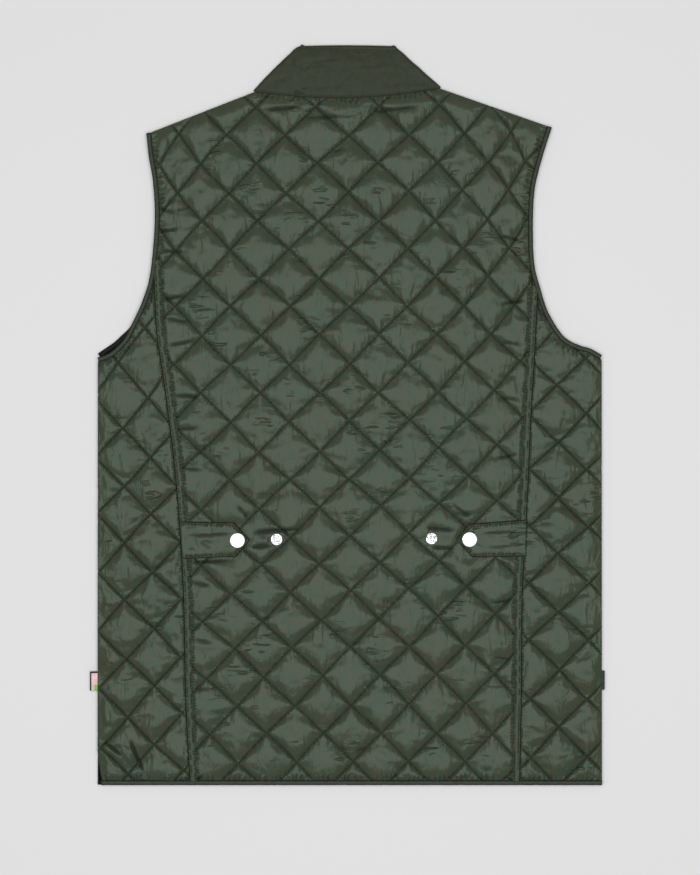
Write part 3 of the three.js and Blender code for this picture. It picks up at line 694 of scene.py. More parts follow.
def fill_diamonds(obj, held):
    """Let the cloth swell and wrinkle between its held points; gives the settled places, in metres."""
    group = obj.vertex_groups.new(name="held")
    group.add([int(i) for i in np.flatnonzero(held)], 1.0, "REPLACE")
    start = np.empty(len(obj.data.vertices) * 3)
    obj.data.vertices.foreach_get("co", start)
    obj.shape_key_add(name="sewn")
    larger = obj.shape_key_add(name="cut")
    larger.data.foreach_set("co", (start.reshape(-1, 3) * (*EXCESS, 1.0)).ravel())
    for number, share in ((1, 1.0), (DRAWN_IN, 0.0)):
        larger.value = share
        larger.keyframe_insert("value", frame=number)
    cloth = obj.modifiers.new("padding", "CLOTH")
    for name, value in CLOTH.items():
        setattr(cloth.settings, name, value)
    cloth.settings.vertex_group_mass = "held"
    cloth.settings.effector_weights.gravity = 0
    cloth.point_cache.frame_start, cloth.point_cache.frame_end = 1, FRAMES
    for number in range(1, FRAMES + 1):
        scene.frame_set(number)
    seen = evaluated(obj).data
    settled = np.empty(len(seen.vertices) * 3)
    seen.vertices.foreach_get("co", settled)
    obj.modifiers.remove(cloth)
    bpy.data.actions.remove(obj.data.shape_keys.animation_data.action)
    obj.shape_key_clear()
    obj.vertex_groups.clear()
    scene.frame_set(1)
    return settled.reshape(-1, 3)


# %% [markdown]
# Creases that the photograph shows in one place only are put there one by one. Each has two ends, in pixels
# of the picture, a width and a height: below nothing it is a trough, above it a ridge.
# More short ones, across the body and uneven, are strewn over the diamonds as the cloth has.

# %% Creases
CREASES = [
    # x0, y0, x1, y1 in pixels; half width and height in mm
    (250, 533, 300, 529, 2.0, -1.6), (250, 547, 272, 545, 2.0, -1.4), (252, 540, 268, 539, 3.0, 0.9),
    (188, 563, 232, 560, 2.2, -1.0), (190, 583, 212, 586, 1.8, -0.9), (236, 505, 250, 520, 2.2, -0.9),
    (455, 531, 425, 528, 2.0, -1.3), (455, 549, 430, 547, 2.0, -1.2), (470, 517, 452, 505, 2.2, -0.8),
    (130, 740, 143, 772, 1.8, -1.9), (121, 744, 133, 768, 2.0, 0.9), (104, 742, 122, 756, 1.8, -1.6),
    (161, 300, 185, 296, 2.0, -1.0), (163, 318, 190, 322, 2.2, -0.9), (166, 345, 196, 341, 2.0, -1.0),
    (158, 232, 180, 228, 2.0, -1.0), (158, 250, 186, 252, 2.0, -0.9), (157, 208, 176, 212, 2.0, -0.8),
    (170, 395, 198, 398, 2.0, -0.8), (176, 430, 200, 428, 2.0, -0.9), (180, 468, 204, 470, 2.0, -0.8),
    (520, 240, 498, 236, 2.0, -0.9), (526, 300, 500, 304, 2.2, -1.0), (524, 345, 500, 342, 2.0, -0.8),
    (522, 400, 498, 398, 2.0, -0.8), (518, 455, 494, 458, 2.0, -0.9), (192, 640, 216, 644, 2.0, -0.8),
    (193, 690, 212, 688, 2.0, -0.7), (512, 600, 490, 604, 2.0, -0.8), (512, 660, 492, 657, 2.0, -0.7),
    (262, 110, 300, 106, 2.4, -1.1), (300, 118, 352, 116, 2.4, -0.8), (372, 112, 420, 106, 2.4, -1.0),
]


def strewn_creases(box, count, seed):
    """Short seeded creases inside a box of millimetres, mostly across the body."""
    chance = random.Random(seed)
    rows = []
    for _ in range(count):
        x, y = chance.uniform(box[0], box[2]), chance.uniform(box[1], box[3])
        length, turn = chance.uniform(5, 15), chance.gauss(0, 0.25)
        reach = np.array([math.cos(turn), math.sin(turn)]) * length
        height = chance.choice([-1, -1, 1]) * chance.uniform(0.15, 0.5)
        width = chance.uniform(1.9, 3.0)
        rows.append((x - reach[0], y - reach[1], x + reach[0], y + reach[1], width, height))
        if chance.random() < 0.5:  # half of them have a fellow beside them, a ridge by a trough
            rows.append((x - reach[0] * 0.8, y - reach[1] + 5, x + reach[0] * 0.7, y + reach[1] + 5.5,
                         2.2, -height))
    return rows


def crease_height(x, y, rows):
    """What all creases together add to the height at each place."""
    total = np.zeros(len(x))
    for x0, y0, x1, y1, width, height in rows:
        reach = max(abs(x1 - x0), abs(y1 - y0)) / 2 + 4 * width
        near = (np.abs(x - (x0 + x1) / 2) < reach) & (np.abs(y - (y0 + y1) / 2) < reach)
        if near.any():
            step = np.array([x1 - x0, y1 - y0])
            t = ((x[near] - x0) * step[0] + (y[near] - y0) * step[1]) / (step ** 2).sum()
            held = np.clip(t, 0, 1)
            gap = np.hypot(x[near] - x0 - held * step[0], y[near] - y0 - held * step[1])
            taper = np.clip(1.15 - (2 * np.abs(held - 0.5)) ** 2, 0, 1)
            total[near] += height * taper * np.exp(-(gap / width) ** 2)
    return total


def fold_map(mesh, rows, scale=1.0):
    """A UV map that says how deep in a crease each place lies, from 0 to 1."""
    places = np.array([v.co[:2] for v in mesh.verts]) / scale
    deep = np.clip(-crease_height(places[:, 0], places[:, 1], rows), 0, 1)
    write_uv(mesh, "fold", np.column_stack([deep, 0 * deep]))


def from_pixels(rows):
    """Creases given in pixels, with their ends in millimetres."""
    return [(*at(x0, y0), *at(x1, y1), width, height) for x0, y0, x1, y1, width, height in rows]


hand_creases = from_pixels(CREASES)
print("creases by hand", len(hand_creases))

# %% [markdown]
# A finished piece is always handed over in the same way: scaled from millimetres to metres, shaded smooth,
# tied to the vest's body, and the plain solids it stands for are hidden.

# %% Handing over a piece
def hand_over(name, bm, materials, stands_for=()):
    """Turn a mesh in millimetres into a finished object of the scene."""
    bmesh.ops.scale(bm, vec=(MM, MM, MM), verts=bm.verts)
    mesh = bpy.data.meshes.new(name)
    bm.to_mesh(mesh)
    bm.free()
    for material in materials:
        mesh.materials.append(material)
    mesh.shade_smooth()
    obj = bpy.data.objects.new(name, mesh)
    scene.collection.objects.link(obj)
    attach(obj, "root")
    if stands_for:
        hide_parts(*stands_for)
    print(name, len(mesh.polygons), "faces")
    return obj


def close_flat(bm, z):
    """Close an open sheet: a wall from its edge down or up to z, and a plain face there."""
    rim = [e for e in bm.edges if e.is_boundary]
    grown = bmesh.ops.extrude_edge_only(bm, edges=rim)["geom"]
    for v in grown:
        if isinstance(v, bmesh.types.BMVert):
            v.co.z = z
    bmesh.ops.holes_fill(bm, edges=[e for e in grown if isinstance(e, bmesh.types.BMEdge)], sides=0)
    bmesh.ops.recalc_face_normals(bm, faces=bm.faces)


# %% [markdown]
# The back is made of three panels. Before the cloth of a panel swells, each of its places gets
# two heights: the one that the stitches, the seams and the tapes hold it down to, and what the
# padding lifts it by. A simulation that starts close to its end needs few frames.

# %% How high the cloth lies
LOFT = 3.3  # what the padding lifts the middle of a diamond by
EDGE_Z = BACK_Z + 1.3  # a panel's edge inside its tape, and the cloth under a strip
SEAM_Z = 6.6  # the height at which the panels meet a long seam


def stitch_level(x, y):
    """The height of a stitch line, which varies a little with the tension of the thread."""
    return STITCH_Z + 0.25 * np.sin(x / 37.0 + 1.3) * np.sin(y / 29.0)


def lowest_level(x, y, rim, seam_gap, strip_width):
    """The height that the cloth is sewn down to: on the stitches, at the rim and by a long seam."""
    base = stitch_level(x, y)
    base[rim] = EDGE_Z
    past = np.maximum(seam_gap - strip_width, 0)
    base += (SEAM_Z - base) * np.where(rim & (past > 2), 0, np.exp(-(past / 4) ** 2))
    base[seam_gap < strip_width - 2.5] = EDGE_Z
    return base


def loft_share(x, y, a, b, seam_gap, edge_gap):
    """How much of the loft each place gets: fuller near hem and shoulders, less beside an edge."""
    zone = 0.92 + 0.3 * np.clip(np.abs(y) / 280, 0, 1.2)
    by_edge = np.where(seam_gap < 12, np.clip(edge_gap / 5, 0, 1), np.clip(edge_gap / 9, 0, 1) ** 0.6)
    return folded(a, b) * zone * by_edge


# %% [markdown]
# The simulation's result is used with care: its sideways moves are limited, and most of its even
# swelling is taken off again, because the diamonds of the real vest are flat with sharp sides.
# The settled cloth gets one subdivision, with its stitch lines kept crisp by an edge crease, and
# then the fine puckers that a needle draws beside each line, the creases and the grooves.

# %% Swelling and fine relief
EVEN_SWELL = 0.9  # the share of the even swelling that is left out
MOST_SHIFT = 2.5  # mm that a place may move sideways
FREE_ABOVE = 7.1  # mm; lower than this, something presses on the cloth and keeps it smooth
PUCKER = {"deep": 0.3, "from_line": 2.2, "wide": 1.8, "pitch": 3.6}
GROOVE = {"deep": 0.5, "wide": 0.8}


def swell(obj, x, y, a, b, start, base, limit, held):
    """Run the simulation on a panel and keep its wrinkles."""
    moved = fill_diamonds(obj, held) / MM - np.column_stack([x, y, start])
    rise = moved[~held, 2]
    print("  swelled", round(float(rise.mean()), 2), "mm, spread", round(float(rise.std()), 2))
    moved[:, :2] = np.clip(moved[:, :2], -MOST_SHIFT, MOST_SHIFT)
    bulge = swelling(a, b)
    moved[:, 2] -= EVEN_SWELL * bulge * (moved[:, 2] @ bulge) / (bulge @ bulge)
    z = np.clip(start + moved[:, 2], base - 0.1, np.minimum(base + LOFT * 1.7, limit + 0.2))
    shaped = np.column_stack([x + moved[:, 0], y + moved[:, 1], np.where(held, start, z)]) * MM
    obj.data.vertices.foreach_set("co", shaped.ravel())


def finer_mesh(obj):
    """The panel's mesh with one subdivision, and one more cut near the listed creases."""
    rounded = obj.modifiers.new("round", "SUBSURF")
    rounded.levels = rounded.render_levels = 1
    smooth = bpy.data.meshes.new_from_object(evaluated(obj))
    obj.modifiers.remove(rounded)
    fine = bmesh.new()
    fine.from_mesh(smooth)
    bpy.data.meshes.remove(smooth)
    places = np.array([v.co[:2] for v in fine.verts]) / MM
    sharp = crease_height(places[:, 0], places[:, 1], [(*row[:4], 3.6, 1.0) for row in hand_creases]) > 0.2
    folds = [e for e in fine.edges if sharp[e.verts[0].index] and sharp[e.verts[1].index]]
    bmesh.ops.subdivide_edges(fine, edges=folds, cuts=1, use_grid_fill=True)
    return fine


def add_relief(fine, outline, creases):
    """Raise and lower the mesh by the needle's puckers, the creases and the stitched grooves."""
    uv = fine.loops.layers.uv["quilt"]
    x, y, a, b = np.array([(*v.co[:2], *v.link_loops[0][uv].uv) for v in fine.verts]).T
    x, y = x / MM, y / MM
    gap_a, gap_b = (np.abs(t - np.round(t)) * DIAMOND_SIDE for t in (a, b))
    relief = np.zeros(len(x))
    for gap, along, line in ((gap_a, b, np.round(a)), (gap_b, a, np.round(b))):
        wave = np.array([noise.noise((t * DIAMOND_SIDE / PUCKER["pitch"], number * 7.1, 3.3))
                         for t, number in zip(along, line)])
        relief += PUCKER["deep"] * wave * np.exp(-((gap - PUCKER["from_line"]) / PUCKER["wide"]) ** 2)
    relief += crease_height(x, y, creases)
    relief -= GROOVE["deep"] * np.exp(-(np.minimum(gap_a, gap_b) / GROOVE["wide"]) ** 2)
    free = np.clip(nearest(closed(outline), x, y)[0] / 4, 0, 1) * (pressed(x, y) > FREE_ABOVE)
    for v, dz in zip(fine.verts, relief * free * MM):
        v.co.z = max(v.co.z + dz, (BACK_Z + 0.7) * MM)


# %% [markdown]
# A panel goes through all of these steps in turn: the sheet is laid on its net, the cloth rises
# from its stitches, the simulation adds its wrinkles, and the relief and a plain underside come
# last. Two UV maps are written for the materials.

# %% One quilted back panel
def quilted_back(name, net, steps, outline, strips, node, creases, sewn_lines):
    """One padded panel of the back, its underside flat on the fronts; gives the object and its surface."""
    bm, a, b = quilted_sheet(net, outline, steps)
    rim = np.array([v.is_boundary for v in bm.verts])
    x, y = np.array([v.co[:2] for v in bm.verts]).T
    seam_gap = np.minimum(*(nearest(line, x, y)[0] for line in (seam_left, seam_right)))
    strip_width = STRIP_WIDTH if strips else 0
    base = lowest_level(x, y, rim, seam_gap, strip_width)
    limit = pressed(x, y)
    on_stitch = (a % 1 == 0) | (b % 1 == 0)
    held = rim | on_stitch | (seam_gap < strip_width - 0.5) | (limit < base + 2.2)
    full = loft_share(x, y, a, b, seam_gap, nearest(closed(outline), x, y)[0])
    start = np.minimum(base + np.where(held, 0, LOFT * full), limit)
    for v, z in zip(bm.verts, start):
        v.co.z = z
    obj = hand_over(name, bm, [quilted_taffeta], [node])
    swell(obj, x, y, a, b, start, base, limit, held)
    fine = finer_mesh(obj)
    add_relief(fine, outline, creases)
    close_flat(fine, BACK_Z * MM)
    sewn_map(fine, sewn_lines, MM, (2, 3) if strips else (1,))
    fold_map(fine, creases, MM)
    fine.to_mesh(obj.data)
    obj.data.shade_smooth()
    surface = BVHTree.FromBMesh(fine)
    fine.free()
    print(" ", name, "now", len(obj.data.polygons), "faces")
    return obj, surface


# %% [markdown]
# Each panel's outline follows the pattern lines, moved inwards to where the cloth ends inside
# its tape. The centre panel runs over both long seams' spare cloth, under the strips.

# %% The three panels
TUCK = 3.6  # how far a panel's edge stops short of the bound edge, inside its tape
FOOT_Y = HEM_Y + TUCK


def centre_outline():
    """The centre panel: armholes, long seams, hem and neck."""
    sides = ((armhole_left, seam_left, 1, 153), (armhole_right, seam_right, -1, 143))
    halves = []
    for armhole, seam, sign, foot in sides:
        cut = beside(seam, 0.4 * sign)
        halves.append(np.vstack([above(beside(armhole, TUCK * sign), foot),
                                 cut_at(cut[cut[:, 1] < foot - 3], FOOT_Y)]))
    return np.vstack([halves[0], halves[1][::-1], neck_back[::-1]])


def side_outline(seam, armhole, sign, edge, foot):
    """A side panel: long seam, hem, side edge and armhole, from where the two lines meet."""
    inner, cut = beside(seam, -0.5 * sign), beside(armhole, TUCK * sign)
    heights = np.arange(90, 160, 0.5)
    seam_x, cut_x = (np.interp(heights, line[::-1, 1], line[::-1, 0]) for line in (inner, cut))
    top = heights[np.argmax(sign * (seam_x - cut_x) < 0.8)]
    inner = cut_at(inner[inner[:, 1] < top], FOOT_Y)
    cut = cut[(cut[:, 1] < top) & (np.abs(cut[:, 0]) < abs(edge) - 1)]
    return np.vstack([inner, foot, [(edge + sign * 0.3, cut[-1][1] - 1)], cut[::-1]])


vent = [(SIDE_LEFT + 4.5, FOOT_Y), (SIDE_LEFT, -357)]  # the left side seam's foot isn't sewn shut
outlines = {
    "centre": centre_outline(),
    "left": side_outline(seam_left, armhole_left, 1, SIDE_LEFT, vent),
    "right": side_outline(seam_right, armhole_right, -1, SIDE_RIGHT, [(SIDE_RIGHT, FOOT_Y)]),
}
strips = {"centre": [seam_left, seam_right], "left": [], "right": []}
hem_line = np.array([(SIDE_LEFT, HEM_Y + 5), (SIDE_RIGHT, HEM_Y + 5)])
sewn_lines = {
    "centre": [beside(armhole_left, 5), beside(armhole_right, -5), beside(seam_left, STRIP_WIDTH),
               beside(seam_right, -STRIP_WIDTH), hem_line, neck_back],
    "left": [beside(armhole_left, 5), seam_left, hem_line],
    "right": [beside(armhole_right, -5), seam_right, hem_line],
}
# the plain solid, the mesh lines across a diamond, the strewn creases and their seed
PANELS = {"centre": ("back_centre", 12, 260, 5), "left": ("back_side_left", 17, 60, 8),
          "right": ("back_side_right", 17, 60, 13)}
panels, surfaces = {}, {}
for side, (node, steps, many, seed) in PANELS.items():
    outline = outlines[side]
    creases = hand_creases + strewn_creases((*outline.min(0), *outline.max(0)), many, seed)
    panels[side], surfaces[side] = quilted_back(f"quilted_back_{side}", NETS[side], steps, outline,
                                                strips[side], node, creases, sewn_lines[side])

# %% [markdown]
# Every line of quilting is sewn with a lockstitch of about 3.3 mm. Each stitch shows as a small
# bead of thread pulled into the groove. The bead is one low ball, squeezed long, and a few
# thousand of them lie end to end on the settled cloth.

# %% Thread
BEAD = (1.25, 0.36, 0.3)  # half its length, width and height
BEAD_LIFT = 0.12
bead_bm = bmesh.new()
bmesh.ops.create_uvsphere(bead_bm, u_segments=5, v_segments=3, radius=1)
bead_corners = np.array([v.co for v in bead_bm.verts]) * BEAD
bead_faces = [[v.index for v in f.verts] for f in bead_bm.faces]
bead_bm.free()


def stitches_along(path, surface):
    """Each stitch along a path in millimetres, laid on a surface given in metres, as a matrix."""
    reach = reach_along(path)
    found = []
    for s in np.arange(STITCH_PITCH / 2, reach[-1], STITCH_PITCH):
        x, y = (np.interp(s, reach, path[:, k]) for k in (0, 1))
        ahead = [np.interp(s + 0.5, reach, path[:, k]) - (x, y)[k] for k in (0, 1)]
        spot, normal, _, _ = surface.ray_cast(Vector((x * MM, y * MM, 0.05)), Vector((0, 0, -1)))
        if spot is not None:
            across = normal.cross(Vector((*ahead, 0))).normalized()
            along = across.cross(normal)
            turn = Matrix((along, across, normal)).transposed().to_4x4()
            found.append(np.array(Matrix.Translation(spot / MM + normal * BEAD_LIFT) @ turn))
    return found


def hand_over_thread(name, stitches):
    """Join one bead per stitch into a piece of thread."""
    places = np.array(stitches)
    corners = bead_corners @ places[:, :3, :3].transpose(0, 2, 1) + places[:, None, :3, 3]
    faces = [[i + k * len(bead_corners) for i in face] for k in range(len(places)) for face in bead_faces]
    mesh = bpy.data.meshes.new("beads")
    mesh.from_pydata(corners.reshape(-1, 3), [], faces)
    bm = bmesh.new()
    bm.from_mesh(mesh)
    bpy.data.meshes.remove(mesh)
    return hand_over(name, bm, [thread])


NET_REACH = 24  # stitch lines looked at each way from the net's middle


def net_lines(net, outline, keep_out):
    """The net's stitch lines inside an outline, as paths, clear of the lines in keep_out."""
    paths = []
    t = np.arange(-NET_REACH, NET_REACH, 0.03)
    for slant in (0, 1):
        for number in range(-NET_REACH, NET_REACH + 1):
            fixed = np.full(len(t), float(number))
            x, y = net_place(net, fixed, t) if slant else net_place(net, t, fixed)
            good = inside(outline, x, y)
            good[good] = nearest(closed(outline), x[good], y[good])[0] > 2.5
            for line in keep_out:
                good[good] = nearest(line, x[good], y[good])[0] > STRIP_WIDTH + 0.5
            good[good] = pressed(x[good], y[good]) > 6.9
            for run in np.split(np.arange(len(t)), np.flatnonzero(np.diff(good.astype(int))) + 1):
                if good[run[0]] and len(run) > 4:
                    paths.append(np.column_stack([x[run], y[run]]))
    return paths


for side, surface in surfaces.items():
    paths = net_lines(NETS[side], outlines[side], strips[side])
    stitches = [stitch for path in paths for stitch in stitches_along(path, surface)]
    hand_over_thread(f"quilting_thread_{side}", stitches)

# %% [markdown]
# Tapes, strips, the collar and the tabs are all grids bent into place: one direction of the
# grid runs round the piece's section and the other along it. One helper makes the grid, joins
# its first and last line into a tube, and closes the ends.

# %% A tube from a grid
def tube(around, along, place):
    """A closed tube; place gives a point in millimetres for two shares, round and along."""
    bm = bmesh.new()
    bmesh.ops.create_grid(bm, x_segments=around, y_segments=along, size=0.5)
    for v in bm.verts:
        v.co = place(v.co.x + 0.5, v.co.y + 0.5)
    bmesh.ops.remove_doubles(bm, verts=bm.verts, dist=1e-4)
    bmesh.ops.holes_fill(bm, edges=[e for e in bm.edges if e.is_boundary], sides=0)
    bmesh.ops.recalc_face_normals(bm, faces=bm.faces)
    return bm


def tape(line, width, low, thick, seed, pucker=0.3, square=0.55, around=16):
    """A flat folded tape along a line, puckered a little by its stitching."""
    columns = [*line.T, *direction(line).T]
    rows = np.arange(len(line))

    def place(q, s):
        x, y, dx, dy = (np.interp(s * (len(line) - 1), rows, column) for column in columns)
        cos, sin = math.cos(2 * math.pi * q), math.sin(2 * math.pi * q)
        side = math.copysign(abs(cos) ** square, cos) * width / 2
        up = (1 + math.copysign(abs(sin) ** square, sin)) / 2 * thick
        bend = noise.noise((x / 4.5, y / 4.5, seed)) + 0.6 * noise.noise((x / 2.4, y / 2.4, seed + 9))
        up += pucker * bend * (sin > 0.1)
        side += 0.35 * pucker * noise.noise((x / 7, y / 7, seed + 5)) * abs(cos)
        return (x + dy * side, y - dx * side, low + up)

    made = tube(around, len(line) - 1, place)
    sewn_map(made, [beside(line, width / 2), beside(line, -width / 2)])
    return made


def in_metres(bm):
    """The surface of a mesh in millimetres, as a tree in metres to lay stitches on."""
    bmesh.ops.scale(bm, vec=(MM, MM, MM), verts=bm.verts)
    tree = BVHTree.FromBMesh(bm)
    bmesh.ops.scale(bm, vec=(1 / MM, 1 / MM, 1 / MM), verts=bm.verts)
    return tree


# %% [markdown]
# Each long seam's spare cloth is folded toward the centre and sewn down. It shows as a flat
# raised strip, 8 mm wide, with the seam's ditch on its outer side and a row of topstitching on
# its inner side.

# %% The strips along the long seams
STRIP_LOW, STRIP_TOP = BACK_Z + 0.6, BACK_Z + 3.1
topstitch = []
for side, seam, armhole, sign in (("left", seam_left, armhole_left, 1),
                                  ("right", seam_right, armhole_right, -1)):
    middle = cut_at(beside(seam, sign * (STRIP_WIDTH / 2 - 0.2)), HEM_Y + 3)
    middle = middle[nearest(armhole, *middle.T)[0] > 5.0]
    strip = tape(middle, STRIP_WIDTH - 0.2, STRIP_LOW, STRIP_TOP - STRIP_LOW, 2.0 + sign, pucker=0.12,
                 square=0.35, around=28)
    topstitch += stitches_along(beside(middle, sign * 2.6), in_metres(strip))
    hand_over(f"seam_strip_{side}", strip, [strip_cloth], ())
hand_over_thread("seam_topstitching", topstitch)

# %% [markdown]
# The raw edges are bound with a tape folded over them and stitched near its inner edge. The tapes of the
# fronts have their upper side drawn near black, which shows past the back's edge at the left armhole.

# %% Bindings
EDGE_TAPE = {"width": 5.2, "thick": 3.2}
half_tape = EDGE_TAPE["width"] / 2
hem_y = HEM_Y + half_tape
hem_back = line_through([(SIDE_LEFT + 4.2, hem_y), (SIDE_RIGHT, hem_y)], 1.6)
back_tapes = {
    "armhole_binding_left": (beside(line_through(ARMHOLE_LEFT, 1.6), half_tape), 1),
    "armhole_binding_right": (beside(line_through(ARMHOLE_RIGHT, 1.6), -half_tape), -1),
    "hem_binding_back": (hem_back, 1),
}
edge_stitches = []
for number, (node, (line, sign)) in enumerate(back_tapes.items()):
    bound = tape(line, EDGE_TAPE["width"], BACK_Z, EDGE_TAPE["thick"], 20.0 + number, pucker=0.4)
    edge_stitches += stitches_along(beside(line, sign * 1.5), in_metres(bound))
    hand_over(f"tape_{node}", bound, [tape_cloth], [node])
hand_over_thread("edge_stitching", edge_stitches)

lap_end = CENTRE_FRONT + 15  # the left front's edge, past the middle
front_tapes = {
    "front_armhole_binding_left": beside(line_through(FRONT_ARMHOLE_LEFT, 3), half_tape),
    "front_armhole_binding_right": beside(line_through(ARMHOLE_RIGHT, 3), -half_tape),
    "hem_binding_front_left": line_through([(SIDE_LEFT, hem_y), (lap_end, hem_y)], 3),
    "hem_binding_front_right": line_through([(lap_end + 0.3, hem_y), (SIDE_RIGHT, hem_y)], 3),
}
for number, (node, line) in enumerate(front_tapes.items()):
    bound = tape(line, EDGE_TAPE["width"], 0.0, 3.6, 40.0 + number, pucker=0.2)
    for face in bound.faces:
        face.material_index = 1 if face.normal.z > 0.3 else 0
    hand_over(f"tape_{node}", bound, [tape_cloth, lining], [node])

# %% [markdown]
# The two fronts lie underneath, on their outer side. Their padding is pressed flat by the weight on it, so
# only the stitch lines stay clear of the surface. Their inside is drawn near black, and it shows in a
# sliver at the armhole and at the foot of the side seam.

# %% The fronts
FRONT_T = 3.6


def quilted_front(name, net, outline, node, phase):
    """One front: quilted below, plain lining above."""
    bm, a, b = quilted_sheet(net, outline, 6)
    gap, _ = nearest(closed(outline), *np.array([v.co[:2] for v in bm.verts]).T)
    lift = 1.5 - 2.4 * swelling(a, b) ** 0.7 * np.clip(gap / 6, 0, 1)
    for i, v in enumerate(bm.verts):
        v.co.z = max(0.0, lift[i] + 0.12 * noise.noise((v.co.x / 9, v.co.y / 9, phase)))
    bmesh.ops.reverse_faces(bm, faces=bm.faces)
    shell = len(bm.faces)
    close_flat(bm, FRONT_T - 0.15)
    bm.faces.ensure_lookup_table()
    for face in bm.faces[shell:]:
        face.material_index = 1
    sewn_map(bm, [closed(outline)])
    return hand_over(name, bm, [quilted_taffeta, lining], [node])


def front_outline(armhole, neck, edge, sign, inner_x):
    """A front: armhole, side, hem, centre edge and neck."""
    side = beside(armhole, TUCK * sign)
    throat = neck[(neck[:, 0] - inner_x) * sign < 0] - np.array([0, 0.6])
    corners = [(edge, FOOT_Y), (inner_x, FOOT_Y), (inner_x, throat[-1][1] - 1)]
    return np.vstack([side, corners, throat[::-1]])


front_shapes = {
    "left": front_outline(front_armhole_left, front_neck_left, SIDE_LEFT, 1, CENTRE_FRONT - 15.3),
    "right": front_outline(armhole_right, front_neck_right, SIDE_RIGHT, -1, lap_end + 0.3),
}
fronts = {side: quilted_front(f"quilted_front_{side}", NETS["centre"], shape, f"front_{side}", 60.0)
          for side, shape in front_shapes.items()}

# %% [markdown]
# Down the centre front the two sides lap over each other in a plain sewn band that carries the
# row of press snaps. The band is a flat tube of cloth with a line of stitching near each edge.

# %% The front bands and their snaps
def band(name, x0, x1, low, high):
    """A plain band from the hem to the neck."""
    middle = (x0 + x1) / 2
    line = line_through([(middle, NECK_DEPTH - 1.5), (middle, FOOT_Y + 2)], 4)
    made = tape(line, x1 - x0, low, high - low, 70.0, pucker=0.08, square=0.2, around=20)
    hand_over(name, made, [taffeta], ())


band("front_band_left", CENTRE_FRONT - 15.5, lap_end, 0.0, 1.9)
band("front_band_right", CENTRE_FRONT - 15, lap_end + 0.5, 2.2, 3.5)


def turned(profile, steps, name, stands_for, spot, z, plate=nickel):
    """Turn a half profile, given as radius and height in millimetres, round the upright axis."""
    bm = bmesh.new()
    corners = [bm.verts.new((r, 0, h)) for r, h in profile]
    edges = [bm.edges.new(pair) for pair in zip(corners, corners[1:])]
    bmesh.ops.spin(bm, geom=corners + edges, cent=(0, 0, 0), axis=(0, 0, 1), angle=2 * math.pi, steps=steps,
                   use_merge=True)
    bmesh.ops.remove_doubles(bm, verts=bm.verts, dist=1e-3)
    bmesh.ops.recalc_face_normals(bm, faces=bm.faces)
    bmesh.ops.translate(bm, vec=(*spot, z), verts=bm.verts)
    hand_over(name, bm, [plate], stands_for)


# half profiles: radius and height in mm
DISC = [(0, 0.2), (5.5, 0.12), (7.0, 0), (7.5, 0.2), (7.4, 0.7), (6.8, 0.9), (0, 0.9)]
CAP = [(0, 0), (7.0, 0), (7.8, 0.15), (8.1, 0.55), (7.95, 0.95), (7.2, 1.25), (5.2, 1.4), (2.6, 1.46),
       (0, 1.48)]
STUD = [(0, 0), (5.6, 0), (6.2, 0.2), (6.2, 0.7), (5.8, 0.95), (4.9, 0.95), (4.2, 0.55), (3.4, 0.45),
        (2.8, 0.6), (2.6, 1.2), (2.85, 1.7), (2.6, 2.05), (2.0, 2.15), (1.2, 1.75), (0, 1.6)]
TOP_SNAP_Y, SNAP_PITCH = 228, 120
for i in range(6):
    turned(DISC, 28, f"front_snap_disc_{i + 1}", [f"front_snap_{i + 1}"],
           (CENTRE_FRONT, TOP_SNAP_Y - i * SNAP_PITCH), 0.0)

# %% [markdown]
# The collar is plain cloth over a light interlining. Its wall runs round the neck, rolls over
# at the two side folds, and ends in a bound edge with one row of topstitching. A long shallow
# puff between seam and edge and a few slack creases across it keep it from looking like card.

# %% The collar
COLLAR_CREASES = [
    # x0, y0, x1, y1 in pixels; half width and height in mm
    (262, 84, 300, 72, 2.6, -0.5), (272, 78, 330, 66, 2.2, 0.4), (285, 88, 350, 84, 2.4, -0.45),
    (300, 62, 345, 57, 2.0, -0.3), (385, 84, 428, 80, 2.4, -0.4), (396, 60, 412, 74, 2.2, -0.35),
    (352, 70, 392, 66, 2.0, 0.3), (266, 90, 286, 91, 1.8, 0.35), (405, 88, 432, 86, 1.8, 0.3),
]
collar_creases = from_pixels(COLLAR_CREASES)
FRONT_ROWS, ARC_ROWS, BACK_ROWS = 36, 10, 90
HEIGHT_ROWS, EDGE_ROWS = 34, 6


def collar_rail(t):
    """For share t of the height: each row's place, outward direction and roll angle."""
    rail = []
    for fold, sign in ((fold_left, -1), (fold_right, 1)):
        start = at_share(fold, t)
        along = at_share(fold, min(1, t + 0.03)) - at_share(fold, max(0, t - 0.03))
        along /= np.linalg.norm(along)
        out = np.array([sign * abs(along[1]), abs(along[0])])
        half = [(collar_front(fold, sign, t, k / FRONT_ROWS), out, -90.0)
                for k in range(FRONT_ROWS, -1, -1)]
        half += [(start, out, -90 + 180 * k / ARC_ROWS) for k in range(1, ARC_ROWS)]
        if sign < 0:
            rail += half + [(collar_back(t, k / BACK_ROWS), out, 90.0) for k in range(BACK_ROWS + 1)]
        else:
            rail += half[::-1]
    return rail


BOUND_FROM, BOUND_SHARE = 0.93, 0.07  # where the bound edge starts, and its share of the height


